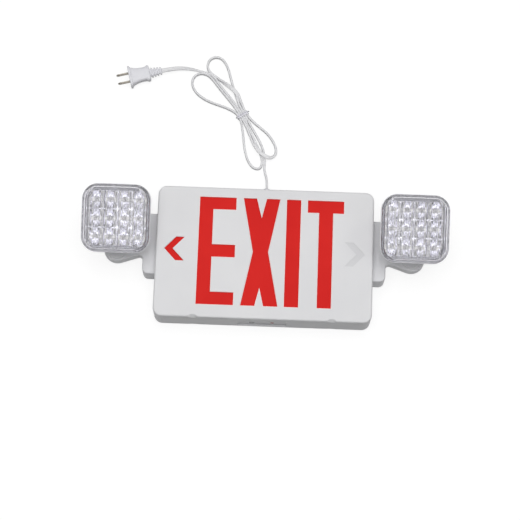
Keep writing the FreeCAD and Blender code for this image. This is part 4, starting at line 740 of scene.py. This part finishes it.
def rounded_section(x, half_y, half_z, power, count=44):
    """A section across the plug: an oval that squares up with its power."""
    ring = []
    for k in range(count):
        a = 2 * math.pi * k / count
        c, s = math.cos(a), math.sin(a)
        ring.append(on_plug(x, half_y * math.copysign(abs(c) ** (2 / power), c),
                            PLUG_LEVEL + half_z * math.copysign(abs(s) ** (2 / power), s)))
    return ring


def build_plug():
    """Moulded plug: ribbed relief, shouldered body with hollowed grips, and end flange."""
    stations = [(0.0, 3.6, 2.2, 2.4), (0.3, 4.0, 2.6, 2.4)]
    for rib in range(4):
        x = 0.6 + 4.2 * rib
        y, z = 5.6 + 0.55 * rib, 3.9 + 0.35 * rib
        stations += [(x, y - 0.5, z - 0.5, 2.6), (x + 0.35, y, z, 2.6), (x + 1.9, y + 0.15, z + 0.1, 2.6),
                     (x + 2.25, y - 0.4, z - 0.4, 2.6), (x + 2.35, y - 1.9, z - 1.3, 2.5),
                     (x + 3.9, y - 1.7, z - 1.2, 2.5)]
    stations += [
        (17.2, 7.6, 5.3, 3.0), (17.8, 10.6, 6.6, 3.2), (18.6, 11.6, 7.0, 3.4), (20.2, 11.9, 7.1, 3.6),
        (21.6, 11.3, 7.0, 3.6), (23.0, 10.4, 6.8, 3.6), (26.0, 9.9, 6.6, 3.6), (30.0, 9.9, 6.6, 3.8),
        (34.0, 10.3, 6.7, 3.8), (38.0, 11.2, 6.9, 4.0), (41.5, 12.4, 7.2, 4.2), (43.8, 13.4, 7.5, 4.4),
        (44.6, 14.0, 7.8, 4.6), (44.85, 15.3, 8.15, 4.8), (45.3, 15.85, 8.45, 4.8), (46.6, 16.0, 8.5, 4.8),
        (47.5, 15.8, 8.4, 4.8), (48.0, 15.1, 8.0, 4.8),
    ]
    shape = bmesh.new()
    skin_rings(shape, [rounded_section(*s) for s in stations])
    body = add_piece("plug_moulding", shape, "plug_white", "sign", math.radians(50))
    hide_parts("plug_body")
    shape = bmesh.new()
    for side in (-1, 1):
        for x in (26.5, 29.0, 31.5, 34.0):
            rings = []
            for t in np.linspace(-1, 1, 9):
                swell = math.sqrt(max(0.0, 1 - t ** 4))
                flank = side * (9.55 + 0.075 * max(0, x - 30))
                rings.append([on_plug(x + 0.55 * swell * math.cos(a),
                                      flank + side * 0.85 * swell * math.sin(a), PLUG_LEVEL + 4.2 * t)
                              for a in np.linspace(0, math.pi, 7)])
            skin_rings(shape, rings)
    grips = add_piece("plug_grip_ridges", shape, "plug_white", "sign", math.radians(50))
    return [body, grips]


def build_blades():
    """Two folded brass blades with rounded, thinned tips and a through hole each."""
    shape = bmesh.new()
    for side in (-1, 1):
        middle = side * BLADE_APART / 2
        start, tip, half, hole_x, hole = 39.5, 65.5, 3.175, 62.0, 1.5
        steps = 24
        outer = []
        for k in range(steps):
            a = 2 * math.pi * k / steps
            dx, dz = math.cos(a), math.sin(a)
            if dx >= 0:
                outer.append((tip - half + half * dx, half * dz))
            else:
                reach = min((hole_x - start) / -dx, half / max(abs(dz), 1e-6))
                outer.append((hole_x + reach * dx if abs(dz) * (hole_x - start) < half * -dx
                              else min(tip - half, hole_x + reach * dx), reach * dz))
        inner = [(hole_x + hole * math.cos(2 * math.pi * k / steps), hole * math.sin(2 * math.pi * k / steps))
                 for k in range(steps)]
        rims = []
        thick = BLADE_HALF_THICK
        for y, trim in ((-thick, 0.25), (-0.5, 0.0), (0.5, 0.0), (thick, 0.25)):
            rims.append([on_plug(x - trim * (1 if x > start + 1 else 0), middle + y,
                                 PLUG_LEVEL + z * (1 - trim / half)) for x, z in outer])
        bores = [[on_plug(x, middle + y, PLUG_LEVEL + z) for x, z in inner] for y in (-thick, thick)]
        rims, bores = vertex_rows(shape, rims), vertex_rows(shape, bores)
        loops = rims + bores[::-1]
        for low, high in zip(loops, loops[1:] + loops[:1]):
            bridge(shape, low, high)
    blades = add_piece("plug_blade_pair", shape, "blade_brass", "sign", math.radians(40))
    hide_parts("plug_blades")
    return blades


cord, cord_points, cord_length = build_cord()
tie_pieces = build_tie()
plug_pieces = build_plug()
blades = build_blades()
print("cord length, m:", round(cord_length, 4))


# ---------------------------------------------------------------- face plate with its open letters

FACE = 46.0
SKIN = 2.2
SCORE = 0.5
EDGE_DEEP, EDGE_WIDE, CUT_ABOVE = 0.6, 1.6, 0.4
LEGEND_HALF_WIDE, LEGEND_HALF_HIGH, ARROW_FROM = 115, 84, 100
TOP, FOOT = 78.9, -74.4
LETTERS = {
    "E": [(-91.8, FOOT), (-40.6, FOOT), (-40.6, -56.4), (-72.8, -56.4), (-72.8, -6.8), (-40.8, -6.8),
          (-40.8, 11.0), (-72.8, 11.0), (-72.8, 61.3), (-41.2, 61.3), (-41.2, TOP), (-91.8, TOP)],
    "X": [(-31.2, TOP), (-12.9, TOP), (-5.4, 50.9), (1.0, TOP), (19.6, TOP), (5.0, 2.3), (20.3, FOOT),
          (0.8, FOOT), (-5.4, -48.8), (-11.4, FOOT), (-30.8, FOOT), (-16.0, 2.3)],
    "I": [(29.0, FOOT), (48.6, FOOT), (48.6, TOP), (29.0, TOP)],
    "T": [(74.0, FOOT), (93.4, FOOT), (93.4, 61.1), (108.4, 61.1), (108.4, TOP), (58.1, TOP), (58.1, 61.1),
          (74.0, 61.1)],
}


def letter_cutter():
    """Tapered plugs of the letters' shapes, wider at the face so that each edge comes out bevelled."""
    shape = bmesh.new()
    for outline in LETTERS.values():
        outline = anticlockwise(outline)
        rings = []
        for level, by in ((FACE - SKIN - 1.0, 0.0), (FACE - EDGE_DEEP, 0.0), (FACE + CUT_ABOVE, EDGE_WIDE)):
            rings.append([Vector((p.x, p.y, level)) * MM for p in grown(outline, by)])
        skin_rings(shape, rings)
    bmesh.ops.recalc_face_normals(shape, faces=shape.faces)
    data = bpy.data.meshes.new("letter plugs")
    shape.to_mesh(data)
    shape.free()
    return bpy.data.objects.new("letter_plugs", data)


def build_face():
    """The moulded face, with its letters open over the red legend."""
    shape = bmesh.new()
    shape.from_mesh(solids["face_plate"].data)
    bmesh.ops.remove_doubles(shape, verts=shape.verts, dist=2e-6)
    bmesh.ops.dissolve_limit(shape, angle_limit=math.radians(0.4), verts=shape.verts, edges=shape.edges)
    bmesh.ops.recalc_face_normals(shape, faces=shape.faces)
    data = bpy.data.meshes.new("blank face")
    shape.to_mesh(data)
    shape.free()
    blank = bpy.data.objects.new("blank_face", data)
    cutter = letter_cutter()
    for thing in (blank, cutter):
        bpy.context.scene.collection.objects.link(thing)
    cut = blank.modifiers.new("letters", "BOOLEAN")
    cut.operation = "DIFFERENCE"
    cut.solver = "EXACT"
    cut.object = cutter
    bpy.context.view_layer.update()
    ready = bpy.data.meshes.new_from_object(blank.evaluated_get(bpy.context.evaluated_depsgraph_get()))
    bpy.data.objects.remove(blank)
    bpy.data.objects.remove(cutter)
    face = place_piece("sign_face", ready, "face_white", "sign", math.radians(28))
    face.data.materials.append(FINISHES["knockout_painted_shade"])
    face.data.materials.append(FINISHES["painted_halo_edge"])
    for side in face.data.polygons:
        level, across, along = side.center.z / MM, side.center.x / MM, side.center.y / MM
        # The scored arrow's recessed floor gets the painted shade.
        if side.normal.z > 0.99 and abs(level - (FACE - SCORE)) < 0.1 and across > ARROW_FROM:
            side.material_index = 1
        # The letters' bevels get the painted halo of red glow and highlight.
        elif (0.3 < side.normal.z < 0.97 and level > FACE - EDGE_DEEP - 0.1
              and abs(across) < LEGEND_HALF_WIDE and abs(along) < LEGEND_HALF_HIGH):
            side.material_index = 2
    even = face.modifiers.new("flat faces", "WEIGHTED_NORMAL")
    even.keep_sharp = True
    even.weight = 90
    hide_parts("face_plate")
    return face


build_face()


# ---------------------------------------------------------------- lamp heads: lens and reflector

HEAD_X, HEAD_Y, HEAD_Z, HEAD_TILT = 204.0, 4.0, 41.0, math.radians(15)
HEAD_RISE = 38.3
HEAD_SIDE, HEAD_CORNER = 94.0, 22.0
LENS_INSET, SPIGOT_INSET, LENS_WALL = 0.5, 2.5, 1.8
SPIGOT_LOW, TRAY_INSET = 26.0, 6.0
PRISM_STEPS, FLUTE_DEEP, ROW_DEEP = 36, 0.85, 0.3
RIM_TOP, LENS_TOP, LENS_ROUND = 30.15, 42.0, 6.0
CUP_TOP, CUP_DEPTH, CUP_FOOT = 29.6, 18.0, 3.2
CELL_X, CELL_Y = 19.2, 25.2


def on_head(side, x, v, w):
    """A point of the lamp head given across it, up its face, and out of its face."""
    c, s = math.cos(HEAD_TILT), math.sin(HEAD_TILT)
    v += HEAD_RISE
    return Vector((side * HEAD_X + x, HEAD_Y + v * c - w * s, HEAD_Z + v * s + w * c)) * MM


def square_marks(steps):
    """Marks round the edge of a square from -1 to 1, anticlockwise."""
    run = [-1 + 2 * k / steps for k in range(steps)]
    return [(a, -1) for a in run] + [(1, a) for a in run] + [(-a, 1) for a in run] + [(-1, -a) for a in run]


def rounded_at(mark, half_x, half_y, corner):
    """Where the ray through a mark meets a rectangle with rounded corners."""
    x, y = mark[0] * half_x, mark[1] * half_y
    cx, cy = half_x - corner, half_y - corner
    if abs(x) <= cx or abs(y) <= cy:
        return x, y
    cx, cy = math.copysign(cx, x), math.copysign(cy, y)
    a, b, c = x * x + y * y, -2 * (x * cx + y * cy), cx * cx + cy * cy - corner * corner
    scale = (-b + math.sqrt(max(0.0, b * b - 4 * a * c))) / (2 * a)
    return x * scale, y * scale


def rounded_ring(side, marks, half_x, half_y, corner, w, x0=0.0, y0=0.0):
    """A rounded rectangle on the head, as one point for each mark."""
    ring = []
    for mark in marks:
        x, y = rounded_at(mark, half_x, half_y, corner)
        ring.append(on_head(side, x0 + x, y0 + y, w))
    return ring


def build_lens(side, hand):
    """Clear cap over the rim, with crossed rows of small prisms moulded inside its front."""
    steps = PRISM_STEPS
    marks = square_marks(steps)
    shape = bmesh.new()
    half, corner = HEAD_SIDE / 2 - LENS_INSET, HEAD_CORNER - LENS_INSET
    spigot, spigot_corner = HEAD_SIDE / 2 - SPIGOT_INSET, HEAD_CORNER - SPIGOT_INSET
    hollow, hollow_corner = spigot - LENS_WALL, spigot_corner - LENS_WALL
    inside = LENS_TOP - LENS_WALL
    rings = [(half, corner, LENS_TOP - LENS_ROUND)]
    for a in np.radians((15, 30, 45, 60, 75, 90)):
        cut = LENS_ROUND * (1 - math.cos(a))
        rings.append((half - cut, corner - cut, LENS_TOP - LENS_ROUND + LENS_ROUND * math.sin(a)))
    rings = [(hollow, hollow_corner, inside - 1.2), (hollow, hollow_corner, SPIGOT_LOW),
             (spigot, spigot_corner, SPIGOT_LOW), (spigot, spigot_corner, RIM_TOP),
             (half, corner, RIM_TOP)] + rings
    rows = vertex_rows(shape, [rounded_ring(side, marks, h, h, c, w) for h, c, w in rings])
    for low, high in zip(rows, rows[1:]):
        bridge(shape, low, high)
    shape.faces.new(rows[-1])
    grid = {}
    edge = hollow - 1.2
    for i in range(steps + 1):
        for j in range(steps + 1):
            u, v = -1 + 2 * i / steps, -1 + 2 * j / steps
            reach = max(abs(u), abs(v))
            x, y = u * edge, v * edge
            if reach > 0:
                bx, by = rounded_at((u / reach, v / reach), edge, edge, hollow_corner - 1.2)
                blend = reach ** 2
                x = x * (1 - blend) + bx * reach * blend
                y = y * (1 - blend) + by * reach * blend
            prism = 0.0 if reach > 0.99 else FLUTE_DEEP * (i % 2) + ROW_DEEP * (j % 2)
            grid[i, j] = shape.verts.new(on_head(side, x, y, inside - prism))
    for i in range(steps):
        for j in range(steps):
            shape.faces.new((grid[i, j], grid[i, j + 1], grid[i + 1, j + 1], grid[i + 1, j]))
    rim = ([grid[k, 0] for k in range(steps)] + [grid[steps, k] for k in range(steps)]
           + [grid[steps - k, steps] for k in range(steps)] + [grid[0, steps - k] for k in range(steps)])
    bridge(shape, rim, rows[0])
    lens = add_piece(f"{hand}_prism_lens", shape, "lens_clear", f"{hand}_head",
                     math.radians(24))
    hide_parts(f"{hand}_lamp_lens")


def build_reflector(side, hand):
    """Bright tray with a deep, softly squared bowl round each lamp."""
    marks = square_marks(8)
    shape = bmesh.new()
    for column in range(4):
        for row in range(3):
            x0, y0 = (column - 1.5) * CELL_X, (row - 1) * CELL_Y
            rings = [rounded_ring(side, marks, CELL_X / 2, CELL_Y / 2, 0.001, CUP_TOP, x0, y0)]
            rings.append(rounded_ring(side, marks, CELL_X / 2 - 0.25, CELL_Y / 2 - 0.25, 1.2,
                                      CUP_TOP + 0.12, x0, y0))
            for q in (1.0, 0.93, 0.84, 0.72, 0.6, 0.48, 0.36, 0.24, 0.12, 0.0):
                half_x = CUP_FOOT + (CELL_X / 2 - 0.45 - CUP_FOOT) * q
                half_y = CUP_FOOT + (CELL_Y / 2 - 0.45 - CUP_FOOT) * q
                depth = CUP_DEPTH * (1 - q ** 1.7)
                rings.append(rounded_ring(side, marks, half_x, half_y, min(half_x, 1.2 + 4.0 * (1 - q)),
                                          CUP_TOP - 0.1 - (depth - 0.1 if q < 1 else 0), x0, y0))
            skin_rings(shape, rings, close_ends=False)
    wide = square_marks(24)
    tray, tray_corner = HEAD_SIDE / 2 - TRAY_INSET, HEAD_CORNER - TRAY_INSET
    rings = [rounded_ring(side, wide, 2 * CELL_X, 1.5 * CELL_Y, 0.001, CUP_TOP),
             rounded_ring(side, wide, tray - 1.0, tray - 1.0, tray_corner - 1.0, CUP_TOP - 2.4),
             rounded_ring(side, wide, tray, tray, tray_corner, CUP_TOP - 3.4),
             rounded_ring(side, wide, tray, tray, tray_corner, CUP_TOP - 6.0)]
    skin_rings(shape, rings, close_ends=False)
    bmesh.ops.remove_doubles(shape, verts=shape.verts, dist=2e-6)
    bowls = add_piece(f"{hand}_bowl_tray", shape, "reflector_bright", f"{hand}_head",
                      math.radians(32))
    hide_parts(f"{hand}_lamp_reflector")


for hand_side, hand_name in ((1, "right"), (-1, "left")):
    build_lens(hand_side, hand_name)
    build_reflector(hand_side, hand_name)
